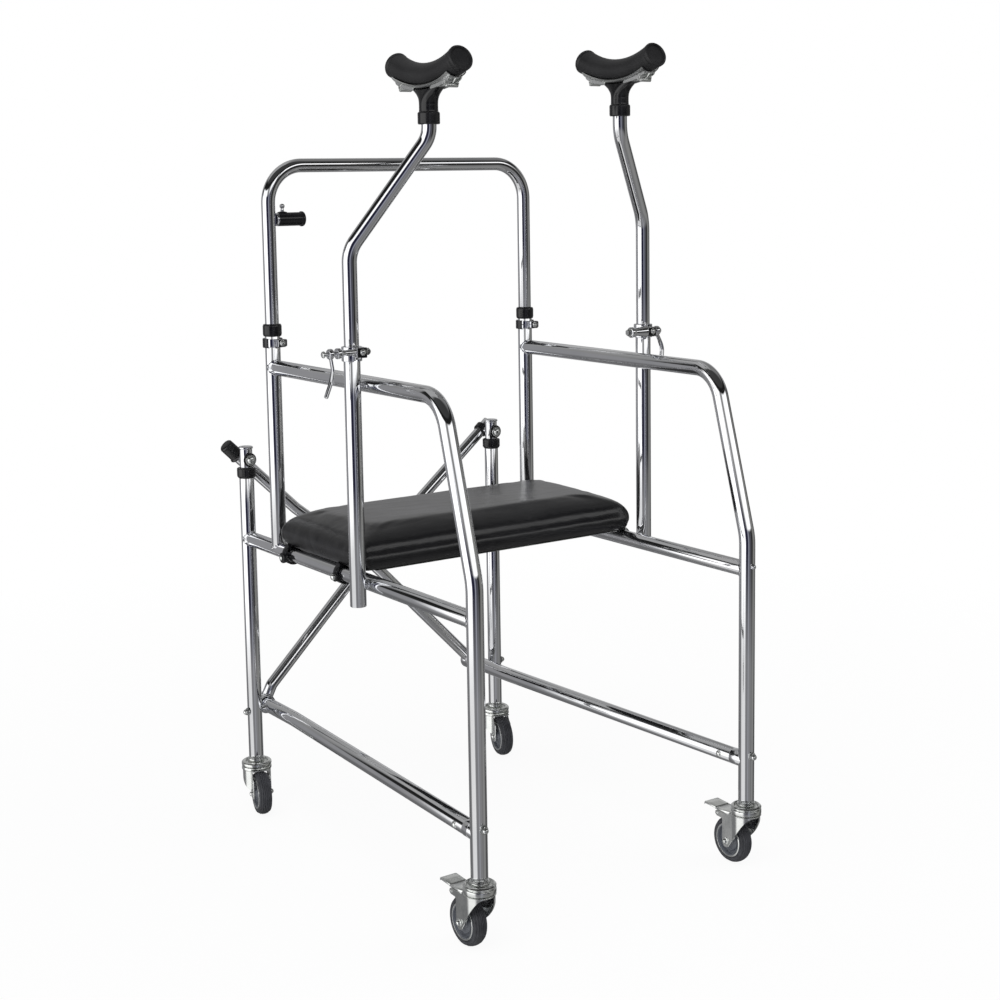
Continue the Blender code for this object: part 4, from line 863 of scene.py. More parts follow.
def pad_holder(side, s):
    """Black socket with a collar, a neck that flares into two wings under the pad, and a thin fin."""
    number, _, x, y = arm_places(s)
    top = ARM_END_Z[number]
    socket = turned(
        [
            (0, top + GAP), (INNER_R + GAP, top + GAP), (INNER_R + GAP, top - 0.0160),
            (0.0157, top - 0.0160), (0.0166, top - 0.0146), (0.0166, top + 0.0004), (0.0156, top + 0.0018),
            (0.0144, top + 0.0024), (NECK_R, top + 0.0060), (NECK_R, top + 0.0150), (0, top + 0.0150),
        ],
        (x, y, 0), UP, 64, 0.0009,
    )
    neck_foot, neck_top = 0.0130, PAD_BASE - 0.0021
    rows, corners = 20, 64
    rings = []
    for step in range(rows + 1):
        share = step / rows
        half_y = NECK_R + 0.0290 * share**2.3
        half_x = NECK_R - 0.0040 * share**1.5
        ring = []
        for corner in range(corners):
            angle = math.tau * corner / corners
            square = 1 + 0.10 * share * abs(math.sin(2 * angle))
            out_y = math.sin(angle) * half_y * square
            lift = 0.0044 * (share * out_y / half_y) ** 2
            z = top + neck_foot + (neck_top - neck_foot) * share + lift
            ring.append(Vector((x + math.cos(angle) * half_x * square, y + out_y, z)))
        rings.append(ring)
    fin = [(0.0100, 0.0110), (0.0150, 0.0120), (0.0215, 0.0190), (0.0345, 0.0350), (0.0150, 0.0345)]
    fin = plate(fin, (x, y, top), FORWARD, UP, 0.0030, 0.0020, 0.0006)
    solids = [socket, loft(rings), fin]
    piece(side + "_pad_holder_socket", solids, "black_plastic", side + "_support", side + "_pad_holder")


def pad_cradle(side, s):
    """Bright strip under the pad, wider at its ends, with a bored bracket and flat wire loops."""
    _, _, x, y = arm_places(s)
    curve = pad_curve(s, 0.80, 40)
    radius = PAD_R + GAP + 0.0009
    rows = []
    for index, centre in enumerate(curve):
        down = heading(curve, index).cross(RIGHT)
        down = down if down.z < 0 else -down
        nearness = abs(2 * index / (len(curve) - 1) - 1)
        spread = math.radians(46 + 8 * nearness**3)
        angles = [spread * column / 6 for column in range(-6, 7)]
        rows.append([centre + (down * math.cos(a) + RIGHT * math.sin(a)) * radius for a in angles])
    middle_column = 6
    solids = [sheet(rows, 0.0015)]
    low = min(row[middle_column].z for row in rows) - 0.0009
    wire_z = low + 0.0030
    for end in (-1, 1):
        near = y + end * PAD_LENGTH * 0.17
        far = y + end * PAD_LENGTH * 0.33
        wire = [(x - 0.0078, near, wire_z), (x - 0.0082, far, wire_z), (x + 0.0082, far, wire_z),
                (x + 0.0078, near, wire_z)]
        solids.append(sweep(rounded_path(wire, [0.0040, 0.0040], math.radians(12)), 0.0018, sides=20))
        roll = [(x - 0.0098, far, wire_z), (x + 0.0098, far, wire_z)]
        solids.append(
            straight(*roll, 0.0031, ("open", "open"), sides=28, edge=0.0004, wall=0.0013, depth=0.004)
        )
        tip = rows[0 if end > 0 else -1][middle_column]
        solids.append(straight((x, far, low + 0.0040), tip - FORWARD * end * 0.0010, 0.0016, sides=16))
        reach = end * PAD_LENGTH
        outline = [
            (reach * 0.12, -0.0006), (reach * 0.27, 0.0034), (reach * 0.375, 0.0110),
            (reach * 0.392, 0.0185), (reach * 0.33, 0.0140), (reach * 0.12, 0.0034),
        ]
        eye = rectangle(0.0016, 0.0036, -0.0012, 0.0012)
        for turn in (-1, 1):
            at = Vector((x + turn * 0.0112, y, low))
            solids.append(plate(outline, at, FORWARD, UP, 0.0013, 0.0060, 0.0003))
            solids.append(turned(eye, at + Vector((0, reach * 0.315, 0.0066)), RIGHT, 32, 0.0004))
    piece(side + "_pad_cradle_strip", solids, "zinc_plate", side + "_support", side + "_pad_cradle")


def underarm_pad(side, s):
    """Moulded crescent, fuller at its ends: a groove before each end rim and a sunk disc in each face."""
    curve = pad_curve(s, 1.0, 96)
    lengths = [0.0]
    for before, after in zip(curve, curve[1:]):
        lengths.append(lengths[-1] + (after - before).length)
    whole = lengths[-1]
    rim, groove = 0.0068, 0.0009

    def size_at(distance):
        size = PAD_R - 0.0009 + 0.0016 * abs(2 * distance / whole - 1) ** 3
        near = min(distance, whole - distance)
        if near < rim:
            return size + 0.0004 - 0.0011 * (1 - min(near / 0.0022, 1.0)) ** 2
        return size - 0.0006 * math.exp(-(((near - rim - groove) / groove) ** 2))

    def ring(centre, way, radius):
        return circle(centre, RIGHT, way.cross(RIGHT).normalized(), radius, 64)

    face = (
        (0.0060, 0.0007), (0.0120, 0.0011), (0.0150, 0.0018), (0.0156, 0.0018), (0.0161, 0.0004),
        (0.0170, -0.0003), (0.0182, -0.0001),
    )
    ends = []
    for index, sign in ((0, 1), (len(curve) - 1, -1)):
        at, way = curve[index], heading(curve, index)
        ends.append([[at + way * sign * 0.0006]])
        ends[-1] += [ring(at + way * sign * sink, way, radius) for radius, sink in face]
    skin = [ring(at, heading(curve, index), size_at(lengths[index])) for index, at in enumerate(curve)]
    pad = loft(ends[0] + skin + ends[1][::-1])
    made = piece(side + "_underarm_pad_foam", [pad], "pad_foam", side + "_support", side + "_underarm_pad")


# Quick clamps

def spindle_place(s):
    x = s * (HALF + SUPPORT_OUT)
    y = SUPPORT_Y - SPINDLE_OUT
    if s < 0:
        return Vector((x, y, QUICK_CLAMP_Z[1] - 0.0065))
    return Vector((x - 0.0060, y, QUICK_CLAMP_Z[1] - 0.0100))


def quick_clamp(side, s):
    """Split ring on the outer tube with its lug plate, screw and the spool of the lever."""
    centre = (s * (HALF + SUPPORT_OUT), SUPPORT_Y, 0)
    low, high = QUICK_CLAMP_Z
    at = spindle_place(s)
    ears = rectangle(-0.0088, 0.0088, -0.0088, 0.0070)
    solids = [
        band(centre, TUBE_R + GAP, 0.0156, low, high, -72, 252, 0.0009),
        band(centre, TUBE_R + GAP, 0.0150, low + 0.0030, high - 0.0030, -108, -72, 0.0005),
        plate(ears, at - FORWARD * 0.0050, RIGHT, UP, 0.0036, 0.0016, 0.0006),
        plate(ears, at + FORWARD * 0.0030, RIGHT, UP, 0.0060, 0.0016, 0.0006),
    ]
    piece(side + "_quick_clamp_ring", solids, "chrome_tube", side + "_frame", side + "_quick_clamp")
    screws = [round_head(at + Vector((0.001, -0.0074, 0)), -FORWARD, 0.0044, 0.0036, flange=0.0050)]
    if s < 0:
        spool = turned(
            [
                (0, 0.0070), (0.0056, 0.0070), (0.0048, 0.0120), (0.0046, 0.0250), (0.0056, 0.0315),
                (0.0080, 0.0345), (0.0082, 0.0400), (0.0066, 0.0405), (0, 0.0405),
            ],
            at, -RIGHT, 48, 0.0009,
        )
        spindle = straight(at - RIGHT * 0.040, at - RIGHT * 0.062, BOLT_R, sides=20)
        end_nut = [(0, 0.0608), (0.0052, 0.0608), (0.0050, 0.0630), (0.0036, 0.0644), (0, 0.0646)]
        end_nut = turned(end_nut, at, -RIGHT, 40, 0.0006)
        screws += hex_nut(at + RIGHT * 0.0086, RIGHT, 0.0094, 0.0060, washer=0.0058)
        screws.append(straight(at + RIGHT * 0.004, at + RIGHT * 0.0176, 0.0026, sides=16))
    else:
        start = at - RIGHT * 0.001
        spool = turned(
            [
                (0, 0.0060), (0.0100, 0.0085), (0.0088, 0.0150), (0.0072, 0.0250), (0.0064, 0.0325),
                (0.0084, 0.0345), (0.0088, 0.0362), (0.0088, 0.0405), (0.0074, 0.0415), (0, 0.0418),
            ],
            start, -RIGHT, 48, 0.0009,
        )
        spindle = straight(start + RIGHT * 0.004, start + RIGHT * 0.0215, BOLT_R, sides=20)
        end_nut = [(0, 0.0206), (0.0052, 0.0206), (0.0046, 0.0226), (0, 0.0234)]
        end_nut = turned(end_nut, start, RIGHT, 40, 0.0006)
        screws += hex_nut(start - RIGHT * 0.0412, -RIGHT, 0.0094, 0.0052, washer=0.0066)
    piece(side + "_quick_clamp_screws", screws + [end_nut], "zinc_plate", side + "_frame")
    piece(side + "_quick_clamp_spool", [spool, spindle], "chrome_tube", side + "_frame")
    # Painted reflection: a thin black sheet laid on the front face of the chrome lug plate, standing in for
    # the dark that its flat chrome face reflects
    inset = [(x_at * 0.84, z_at * 0.84 + 0.0001) for x_at, z_at in ears]
    dark = plate(inset, at - FORWARD * 0.0070, RIGHT, UP, 0.0008, 0.0012, 0.0003)
    piece(side + "_quick_clamp_face", [dark], "black_plastic", side + "_frame")


def clamp_lever(side, s):
    """Cam lever: a rounded eye and a flat curved arm with a groove along it."""
    if s < 0:
        along, width, thickness, breadth = -0.0505, 0.0080, 0.0028, 0.0039
        corners = (
            (0, 0, -0.002), (0.003, -0.001, -0.024), (-0.002, -0.003, -0.043), (-0.011, -0.004, -0.063)
        )
    else:
        along, width, thickness, breadth = 0.0145, 0.0088, 0.0032, 0.0043
        corners = (
            (-0.001, 0, -0.002), (0.007, 0, -0.017), (0.011, -0.002, -0.030), (0.007, -0.004, -0.046)
        )
    at = spindle_place(s) + RIGHT * along
    eye = [
        (0.0033, -width / 2), (0.0068, -width / 2), (0.0080, -width / 4), (0.0080, width / 4),
        (0.0068, width / 2), (0.0033, width / 2),
    ]
    path = rounded_path([at + Vector(corner) for corner in corners], [0.02, 0.03], math.radians(5))
    corner_count = 28
    rings = []
    for index, point in enumerate(path):
        normal = heading(path, index).cross(FORWARD).normalized()
        share = index / (len(path) - 1)
        thin = thickness * (0.85 + 0.25 * share)
        half = breadth * (0.92 + 0.12 * share)
        ring = []
        for corner in range(corner_count):
            angle = math.tau * corner / corner_count
            groove = 1 - 0.34 * max(0.0, 1 - (math.cos(angle) / 0.62) ** 2)
            ring.append(point + FORWARD * math.cos(angle) * half + normal * math.sin(angle) * thin * groove)
        rings.append(ring)
    tip = path[-1] + (path[-1] - path[-2]).normalized() * 0.0016
    rings.append([tip + (point - path[-1]) * 0.55 for point in rings[-1]])
    solids = [turned(eye, at, RIGHT, 48, 0.0012), loft(rings)]
    piece(side + "_clamp_lever_arm", solids, "chrome_tube", side + "_lever", side + "_clamp_lever")


# Seat

def seat_board():
    """Board with its rail rings on the left and open saddles on the right, its screws and edge strips."""
    half_x = SEAT_HALF_WIDTH - SEAT_BOARD_INSET
    half_y = SEAT_HALF_DEPTH - SEAT_BOARD_INSET
    board_at = (0, SEAT_MIDDLE_Y, sum(SEAT_BOARD_Z) / 2)
    board = rectangle(-half_x, half_x, -half_y, half_y)
    thickness = SEAT_BOARD_Z[1] - SEAT_BOARD_Z[0]
    solids = [plate(board, board_at, RIGHT, FORWARD, thickness, 0.0150, 0.0012)]
    bolts = []
    bore, wall = TUBE_R + GAP, 0.0040
    ring = rectangle(bore, 0.0172, -0.0060, 0.0060)
    block = rectangle(-0.0110, 0.0130, 0.0125, 0.0170)
    tall_knob = [
        (0, -0.0010), (0.0080, -0.0010), (0.0090, 0.0004), (0.0090, 0.0044), (0.0080, 0.0060), (0, 0.0064),
    ]
    flat_knob = [(0, 0), (0.0078, 0), (0.0078, 0.0030), (0.0060, 0.0042), (0, 0.0046)]
    for y, knob, corner, face, head_r, head_h, recess in (
        (CLIP_Y[0], tall_knob, 0.0009, 0.0062, 0.0042, 0.0028, 0.45),
        (CLIP_Y[1], flat_knob, 0.0008, 0.0044, 0.0052, 0.0046, 0.2),
    ):
        at = Vector((-HALF, y, RAIL_Z))
        knob_at = at + Vector((-0.0150, 0, -0.0040))
        solids.append(turned(ring, at, FORWARD, 64, 0.0012))
        solids.append(plate(block, at, RIGHT, UP, 0.0110, 0.0010, 0.0006))
        solids.append(turned(knob, knob_at, -RIGHT, 48, corner))
        bolts.append(round_head(knob_at - RIGHT * face, -RIGHT, head_r, head_h, recess=recess))
    angles = [math.radians(angle) for angle in range(-24, 121, 9)]
    arc = [Vector((math.cos(a), math.sin(a))) for a in angles]
    saddle = [out * (bore + wall) for out in arc] + [out * bore for out in arc[::-1]]
    for y in SADDLE_Y:
        at = Vector((HALF, y, RAIL_Z))
        solids.append(plate(saddle, at, RIGHT, UP, 0.0160))
        side_at = at + Vector((TUBE_R + wall, 0, 0.0020))
        bolts.append(round_head(side_at, (1, 0, 0.12), 0.0042, 0.0036, recess=0.3))
        end_at = at + Vector((0.0065, -0.0080, 0.0125))
        bolts.append(round_head(end_at, (0.2, -1, 0.0), 0.0030, 0.0026, recess=0.2))
    for x_at in (-0.19, -0.065, 0.065, 0.19):
        for way in (-1, 1):
            screw_at = (x_at, SEAT_MIDDLE_Y + way * (half_y - 0.030), SEAT_BOARD_Z[0])
            bolts.append(round_head(screw_at, -UP, 0.0045, 0.0022))
    piece("seat_board_panel", solids, "black_plastic", "seat", "seat_board")
    piece("seat_board_bolts", bolts, "zinc_plate", "seat")
    section = rectangle(0.016 - half_x, half_x - 0.016, -0.0006, 0.0006)
    strips = []
    for way in (-1, 1):
        strip_at = (0, SEAT_MIDDLE_Y + way * (half_y + 0.0034), SEAT_BOARD_Z[0] - 0.0004)
        strips.append(plate(section, strip_at, RIGHT, UP, 0.0090, 0.0, 0.0003))
    piece("seat_board_edge", strips, "zinc_plate", "seat")


def cushion_grid(low, lip):
    """Rings of the cushion's skin: turned in under the board's edge, full at the sides, crowned on top."""
    top = CUSHION_TOP_Z
    outline = [
        (0.0100, low), (0.0098, lip + 0.0020), (0.0084, lip), (0.0042, lip), (0.0014, lip + 0.0020),
        (-0.0014, lip + 0.0065), (-0.0042, lip + 0.0130), (-0.0062, lip + 0.0195), (-0.0068, lip + 0.0260),
    ]
    bulge, middle_z = outline[-1]
    shoulder = 0.0620
    rise = top + 0.0024 - middle_z
    for angle in (12, 24, 36, 48, 60, 70, 80, 90):
        turn = math.radians(angle)
        outline.append((bulge + shoulder * (1 - math.cos(turn)), middle_z + rise * math.sin(turn)))
    outline += [(0.0800, top + 0.0030), (0.1050, top + 0.0034)]
    rings = []
    for inset, z in outline:
        corner = max(SEAT_CORNER_R - 0.004 + max(inset, 0.0) * 0.35, 0.014)
        lean = min(max((z - lip - 0.010) / 0.020, 0.0), 1.0)
        near = SEAT_HALF_DEPTH - (inset if inset > 0 else inset * 0.35) - 0.006 * lean * lean
        far = SEAT_HALF_DEPTH - inset
        ring = []
        for way_x, way_y, first in ((1, 1, 0), (-1, 1, 90), (-1, -1, 180), (1, -1, 270)):
            centre_x = way_x * (SEAT_HALF_WIDTH - inset - corner)
            centre_y = SEAT_MIDDLE_Y + way_y * ((far if way_y > 0 else near) - corner)
            for step in range(13):
                angle = math.radians(first + step * 7.5)
                x, y = centre_x + corner * math.cos(angle), centre_y + corner * math.sin(angle)
                ring.append(Vector((x, y, z)))
        rings.append(ring)
    rings.append([Vector((0, SEAT_MIDDLE_Y, top + 0.0036))])
    return rings


def puff(obj, pinned_below, cap):
    """Lets cloth pressure fill the cushion, then holds each point within a cap of its start."""
    group = obj.vertex_groups.new(name="held")
    held = [vert.index for vert in obj.data.vertices if vert.co.z < pinned_below]
    group.add(held, 1.0, "REPLACE")
    before = [vert.co.copy() for vert in obj.data.vertices]
    frames = 20
    cloth = obj.modifiers.new("cloth", "CLOTH")
    cloth.settings.use_pressure = True
    cloth.settings.uniform_pressure_force = 4.0
    cloth.settings.quality = 6
    cloth.settings.vertex_group_mass = "held"
    cloth.settings.effector_weights.gravity = 0.0
    cloth.point_cache.frame_start = 1
    cloth.point_cache.frame_end = frames
    scene = bpy.context.scene
    for number in range(1, frames + 1):
        scene.frame_set(number)
    graph = bpy.context.evaluated_depsgraph_get()
    shaped = obj.evaluated_get(graph).to_mesh()
    after = [vert.co.copy() for vert in shaped.vertices]
    obj.evaluated_get(graph).to_mesh_clear()
    obj.modifiers.remove(cloth)
    scene.frame_set(1)
    for vert, start, end in zip(obj.data.vertices, before, after):
        move = end - start
        if move.length > cap:
            move *= cap / move.length
        vert.co = start + move


def press_pleats(mesh, lip):
    """Presses pleats and a fold into the cushion's corners and soft puckers into its sides and top."""
    shape = bmesh.new()
    shape.from_mesh(mesh)
    for _ in range(2):
        bmesh.ops.smooth_vert(
            shape, verts=shape.verts, factor=0.5, use_axis_x=True, use_axis_y=True, use_axis_z=True
        )
    centre = Vector((OFFSET.x, OFFSET.y + SEAT_MIDDLE_Y, 0))
    corner_reach = 0.022
    corner_x = SEAT_HALF_WIDTH - corner_reach
    corner_y = SEAT_HALF_DEPTH - corner_reach
    near_limit = centre.y - SEAT_HALF_DEPTH - 0.0024
    for vert in shape.verts:
        offset = vert.co - centre
        share = min(max((vert.co.z - lip) / (CUSHION_TOP_Z - lip), 0.0), 1.0)
        out_x = abs(offset.x) - corner_x
        out_y = abs(offset.y) - corner_y
        if out_x > 0 and out_y > 0 and share > 0.15:
            angle = math.atan2(out_y, out_x)
            pleat = math.cos(angle * 12 + math.sin(share * 3.0)) ** 3
            depth = 0.0014 * pleat * math.sin(2 * angle) * (1 - share) ** 0.9
            fold = 0.0024 * math.exp(-(((angle - 0.80) / 0.10) ** 2)) * (1 - share) ** 0.5
            press = depth - fold
            vert.co.x += math.copysign(math.cos(angle), offset.x) * press
            vert.co.y += math.copysign(math.sin(angle), offset.y) * press
        swell = noise.noise(Vector((offset.x * 9, offset.y * 16, 0.3))) * 0.0012 * share
        swell += noise.noise(Vector((offset.x * 30, offset.y * 60, 1.3))) * 0.0003 * share
        pucker = noise.noise(Vector((offset.x * 40, offset.y * 40, share * 2)))
        pucker *= 0.0008 * (1 - share) * share * 4
        vert.co += Vector((math.copysign(pucker, offset.x), math.copysign(pucker, offset.y), swell))
        vert.co.z = max(vert.co.z, lip)
        vert.co.y = max(vert.co.y, near_limit)
    shape.to_mesh(mesh)
    shape.free()


def settle(obj):
    """Turns an object's modifiers into its mesh."""
    graph = bpy.context.evaluated_depsgraph_get()
    obj.data = bpy.data.meshes.new_from_object(obj.evaluated_get(graph))
    obj.modifiers.clear()


def cushion():
    """Vinyl cushion: filled by cloth pressure, then its corner pleats and puckers are pressed in."""
    low = SEAT_BOARD_Z[1] + GAP
    lip = low - 0.0084
    skin = loft(cushion_grid(low, lip))
    obj = piece("seat_cushion_cover", [skin], "vinyl", "seat", "seat_cushion", sharp=180)
    bpy.context.view_layer.objects.active = obj
    remesh = obj.modifiers.new("remesh", "REMESH")
    remesh.mode = "VOXEL"
    remesh.voxel_size = 0.0042
    settle(obj)
    puff(obj, low + 0.020, 0.0022)
    press_pleats(obj.data, lip)
    smoother = obj.modifiers.new("finer", "SUBSURF")
    smoother.levels = 1
    smoother.render_levels = 1
    settle(obj)
    obj.data.shade_smooth()
    obj.data.materials.clear()
    obj.data.materials.append(FINISHES["vinyl"])


# Casters

def caster_mount(prefix, body, at, foot_z, head_r, top_z, braked):
    """Neck under the leg, a rolled rim round a sunk ring, and the stub that the fork turns on."""
    race = top_z + GAP
    rim = foot_z - (0.0040 if braked else 0.0060)
    plate_z = top_z - FORK_PLATE_DROP
    profile = [
        (0, foot_z + 0.026), (0.0080, foot_z + 0.026), (0.0080, foot_z - GAP), (0.0132, foot_z - GAP),
        (0.0150, foot_z - 0.0018), (0.0148, rim - 0.0010), (0.0132, rim - 0.0030), (0.0150, rim - 0.0042),
        (0.0180, rim - 0.0038), (0.0190, rim - 0.0014), (0.0206, rim), (head_r - 0.0018, rim - 0.0006),
        (head_r, rim - 0.0026),
    ]
    if braked:
        groove = foot_z - 0.0089
        profile += [
            (head_r, groove + 0.0016), (head_r - 0.0018, groove + 0.0003),
            (head_r - 0.0018, groove - 0.0003), (head_r - 0.0002, groove - 0.0016),
            (head_r, groove - 0.0030),
        ]
    profile += [
        (head_r, race + 0.0018), (head_r - 0.0014, race), (STUB_R, race), (STUB_R, plate_z - GAP),
        (0.0064, plate_z - GAP), (0.0064, plate_z - 0.0022), (0, plate_z - 0.0025),
    ]
    head = turned(profile, at, UP, 80, 0.0008)
    piece(prefix + "_mount_head", [head], "zinc_plate", body, prefix + "_mount")


def arch(share):
    """0 to 1 with level ends."""
    share = min(max(share, 0.0), 1.0)
    return share * share * (3 - 2 * share)


def caster_fork(prefix, body, at, away, across, head_r, top_z, braked):
    """Pressed fork: top plate and bead, arched round wall, two flat legs, and the axle bolt."""
    plate_z = top_z - FORK_PLATE_DROP
    bore = STUB_R + GAP
    bead = 0.0018 if braked else 0.0057
    cap = [
        (bore, plate_z), (head_r - 0.0024, plate_z), (head_r - 0.0024, top_z - bead),
        (head_r - 0.0002, top_z - bead), (head_r, top_z - bead * 0.5), (head_r - 0.0008, top_z),
        (bore, top_z),
    ]
    solids = [turned(cap, at, UP, 80, 0.0006)]
    wall_r = head_r - FORK_SHEET / 2 - 0.0006
    first = math.asin((FORK_HALF_WIDTH - 0.0016) / wall_r)
    last = math.radians(160)
    height = top_z - 0.0017 - WHEEL_R
    columns, levels = 96, 8
    rows = []
    for step in range(columns + 1):
        angle = first + (math.tau - 2 * first) * step / columns
        rise = arch((min(angle, math.tau - angle) - first) / (last - first))
        lower = WHEEL_R + height * (0.05 + 0.92 * rise)
        foot = at + (away * math.cos(angle) + across * math.sin(angle)) * wall_r
        span = top_z - 0.0010 - lower
        rows.append([foot + UP * (lower + span * level / levels) for level in range(levels + 1)])
    solids.append(sheet(rows, FORK_SHEET))
    front = math.sqrt(head_r**2 - FORK_HALF_WIDTH**2) - 0.0036
    end = 0.0235 if braked else 0.0340
    outline = [
        (front, top_z - 0.0030), (front, WHEEL_R + 0.17 * height),
        (front + 0.0012, WHEEL_R + 0.08 * height), (TRAIL - 0.0096, WHEEL_R - 0.0040),
        (TRAIL - 0.0070, WHEEL_R - 0.0084), (TRAIL - 0.0022, WHEEL_R - 0.0110),
        (TRAIL + 0.0026, WHEEL_R - 0.0108), (TRAIL + 0.0064, WHEEL_R - 0.0076),
        (TRAIL + 0.0080, WHEEL_R - 0.0025),
    ]
    if braked:
        pivot_away, pivot_z = PEDAL_PIVOT
        outline += [
            (TRAIL + 0.0082, pivot_z - 0.0075), (TRAIL + 0.0096, pivot_z - 0.0055),
            (pivot_away + 0.0020, pivot_z - 0.0050), (pivot_away + 0.0050, pivot_z - 0.0015),
            (pivot_away + 0.0048, pivot_z + 0.0018), (pivot_away + 0.0020, pivot_z + 0.0045),
            (end, pivot_z + 0.0048), (end, top_z - 0.0030),
        ]
    else:
        outline += [
            (TRAIL + 0.0080, WHEEL_R + 0.58 * height), (end - 0.0030, top_z - 0.0120),
            (end - 0.0090, top_z - 0.0030),
        ]
    for side in (-1, 1):
        origin = at + across * side * (FORK_HALF_WIDTH - FORK_SHEET / 2)
        solids.append(plate(outline, origin, away, UP, FORK_SHEET, 0.0024, 0.0005))
    reach = FORK_HALF_WIDTH - 0.0004
    deck = rectangle(0.0105, end - 0.0010, -reach, reach)
    solids.append(plate(deck, at + UP * (top_z - 0.0024), away, across, 0.0022, 0.0020, 0.0004))
    piece(prefix + "_fork_pressing", solids, "zinc_plate", body, prefix + "_fork")
    axle = at + away * TRAIL + UP * WHEEL_R
    bolts = [straight(axle - across * FORK_HALF_WIDTH, axle + across * FORK_HALF_WIDTH, 0.0038, sides=24)]
    for way in (across, -across):
        head_at = axle + way * (FORK_HALF_WIDTH - 0.0002)
        bolts.append(round_head(head_at, way, 0.0046, 0.0054, flange=0.0062))
    piece(prefix + "_fork_axle", bolts, "zinc_plate", body)


def caster_wheel(prefix, body, axle, across):
    """Hub with a raised rim and a sunk web, and a ribbed tyre."""
    wide = WHEEL_WIDTH / 2
    rim = WHEEL_R - 0.0095
    boss = FORK_HALF_WIDTH - FORK_SHEET - GAP
    face = [
        (0.0043, boss), (0.0078, boss), (0.0084, wide - 0.0004), (0.0108, wide - 0.0018),
        (0.0170, wide - 0.0028), (0.0190, wide - 0.0056), (0.0226, wide - 0.0060), (0.0238, wide - 0.0012),
        (0.0248, wide + 0.0003), (0.0270, wide + 0.0003), (rim, wide - 0.0008),
    ]
    profile = [(radius, -height) for radius, height in face] + face[::-1]
    hub = turned(profile, axle, across, 72, 0.0005)
    piece(prefix + "_hub_moulding", [hub], "hub_plastic", body, prefix + "_hub")
    outer = rim - 0.0004
    ring = [
        (outer - 0.0030, wide - 0.0006), (outer, wide - 0.0006), (outer - 0.0002, wide + 0.0005),
        (outer - 0.0026, wide + 0.0008),
    ]
    rings = [turned(ring, axle, way, 96, 0.0003) for way in (across, -across)]
    piece(prefix + "_hub_rings", rings, "zinc_plate", body)
    crown, ribs, rib_steps, reach = 0.0180, 5, 6, wide - 0.0036
    tread = []
    for step in range(ribs * rib_steps + 1):
        height = -reach + 2 * reach * step / (ribs * rib_steps)
        groove = 0.0011 * (0.5 + 0.5 * math.cos(math.tau * step / rib_steps)) ** 3
        tread.append((WHEEL_R - crown + math.sqrt(crown**2 - height**2) - groove, height))
    shoulder = tread[0][0]
    seat = rim + GAP
    side = [(shoulder - 0.0006, 0.0012), (shoulder - 0.0022, 0.0), (seat + 0.0012, 0.0), (seat, 0.0006)]
    tyre = [(radius, -wide + down) for radius, down in side[::-1]] + tread
    tyre += [(radius, wide - down) for radius, down in side]
    tyre = turned(tyre, axle, across, 96, 0.0002)
    piece(prefix + "_tyre_tread", [tyre], "tyre_rubber", body, prefix + "_tyre")


def brake_pedal(prefix, body, at, away, across):
    """Pressed pedal: a nearly level plate with turned-down edges, its web and the pivot pin."""
    pivot_away, pivot_z = PEDAL_PIVOT
    low = pivot_z + 0.0076
    half_width = 0.0145
    half_section = ((1.0, -0.0028), (1.0, -0.0012), (0.97, -0.0003), (0.90, 0.0), (0.5, 0.0))
    section = [(-out, drop) for out, drop in half_section] + [(0.0, 0.0)] + list(half_section[::-1])
    spine = (
        (0.0258, low, 0.80), (0.0300, low, 0.92), (0.0360, low, 1.0), (pivot_away + 0.0045, low, 1.0),
        (pivot_away + 0.0056, low - 0.0006, 1.0), (pivot_away + 0.0066, low + 0.0004, 1.0),
        (pivot_away + 0.0200, low + 0.0012, 1.0), (pivot_away + 0.0310, low + 0.0018, 0.99),
        (pivot_away + 0.0332, low + 0.0012, 0.95), (pivot_away + 0.0340, low - 0.0006, 0.92),
    )
    rows = []
    for reach, z, narrow in spine:
        wide = across * half_width * narrow
        rows.append([at + away * reach + wide * out + UP * (z + drop) for out, drop in section])
    solids = [sheet(rows, 0.0014)]
    web = rectangle(pivot_away - 0.0035, pivot_away + 0.0035, pivot_z - 0.0030, low)
    inner = FORK_HALF_WIDTH - FORK_SHEET - GAP - 0.0009
    for side in (-1, 1):
        solids.append(plate(web, at + across * side * inner, away, UP, 0.0016, 0.0014, 0.0004))
    pivot = at + away * pivot_away + UP * pivot_z
    ends = across * (FORK_HALF_WIDTH + 0.0012)
    solids.append(straight(pivot - ends, pivot + ends, 0.0026, ("dome", "dome"), sides=24, edge=0.0010))
    piece(prefix + "_brake_pedal_pressing", solids, "zinc_plate", body, prefix + "_brake_pedal")


def caster(side, end, at, foot_z, turn, head_r, top_z, braked):
    prefix = f"{side}_{end}_caster"
    away = Vector((math.cos(turn), math.sin(turn), 0))
    across = Vector((-math.sin(turn), math.cos(turn), 0))
    caster_mount(prefix, side + "_frame", at, foot_z, head_r, top_z, braked)
    caster_fork(prefix, f"{side}_{end}_fork", at, away, across, head_r, top_z, braked)
    caster_wheel(prefix, f"{side}_{end}_wheel", at + away * TRAIL + UP * WHEEL_R, across)
    if braked:
        brake_pedal(prefix, side + "_pedal", at, away, across)


# Camera, floor and light

CAMERA_AT = Vector((-1.5115, -2.3030, 1.1000))
CAMERA_YAW = math.radians(34.38)
CAMERA_PITCH = math.radians(-7.59)
CAMERA_ROLL = math.radians(-0.87)
FOCAL_PIXELS = 1694.0
CENTRE_PIXELS = (498.0, 406.4)
FRAME_PIXELS = 1000.0
SENSOR_WIDTH = 36.0


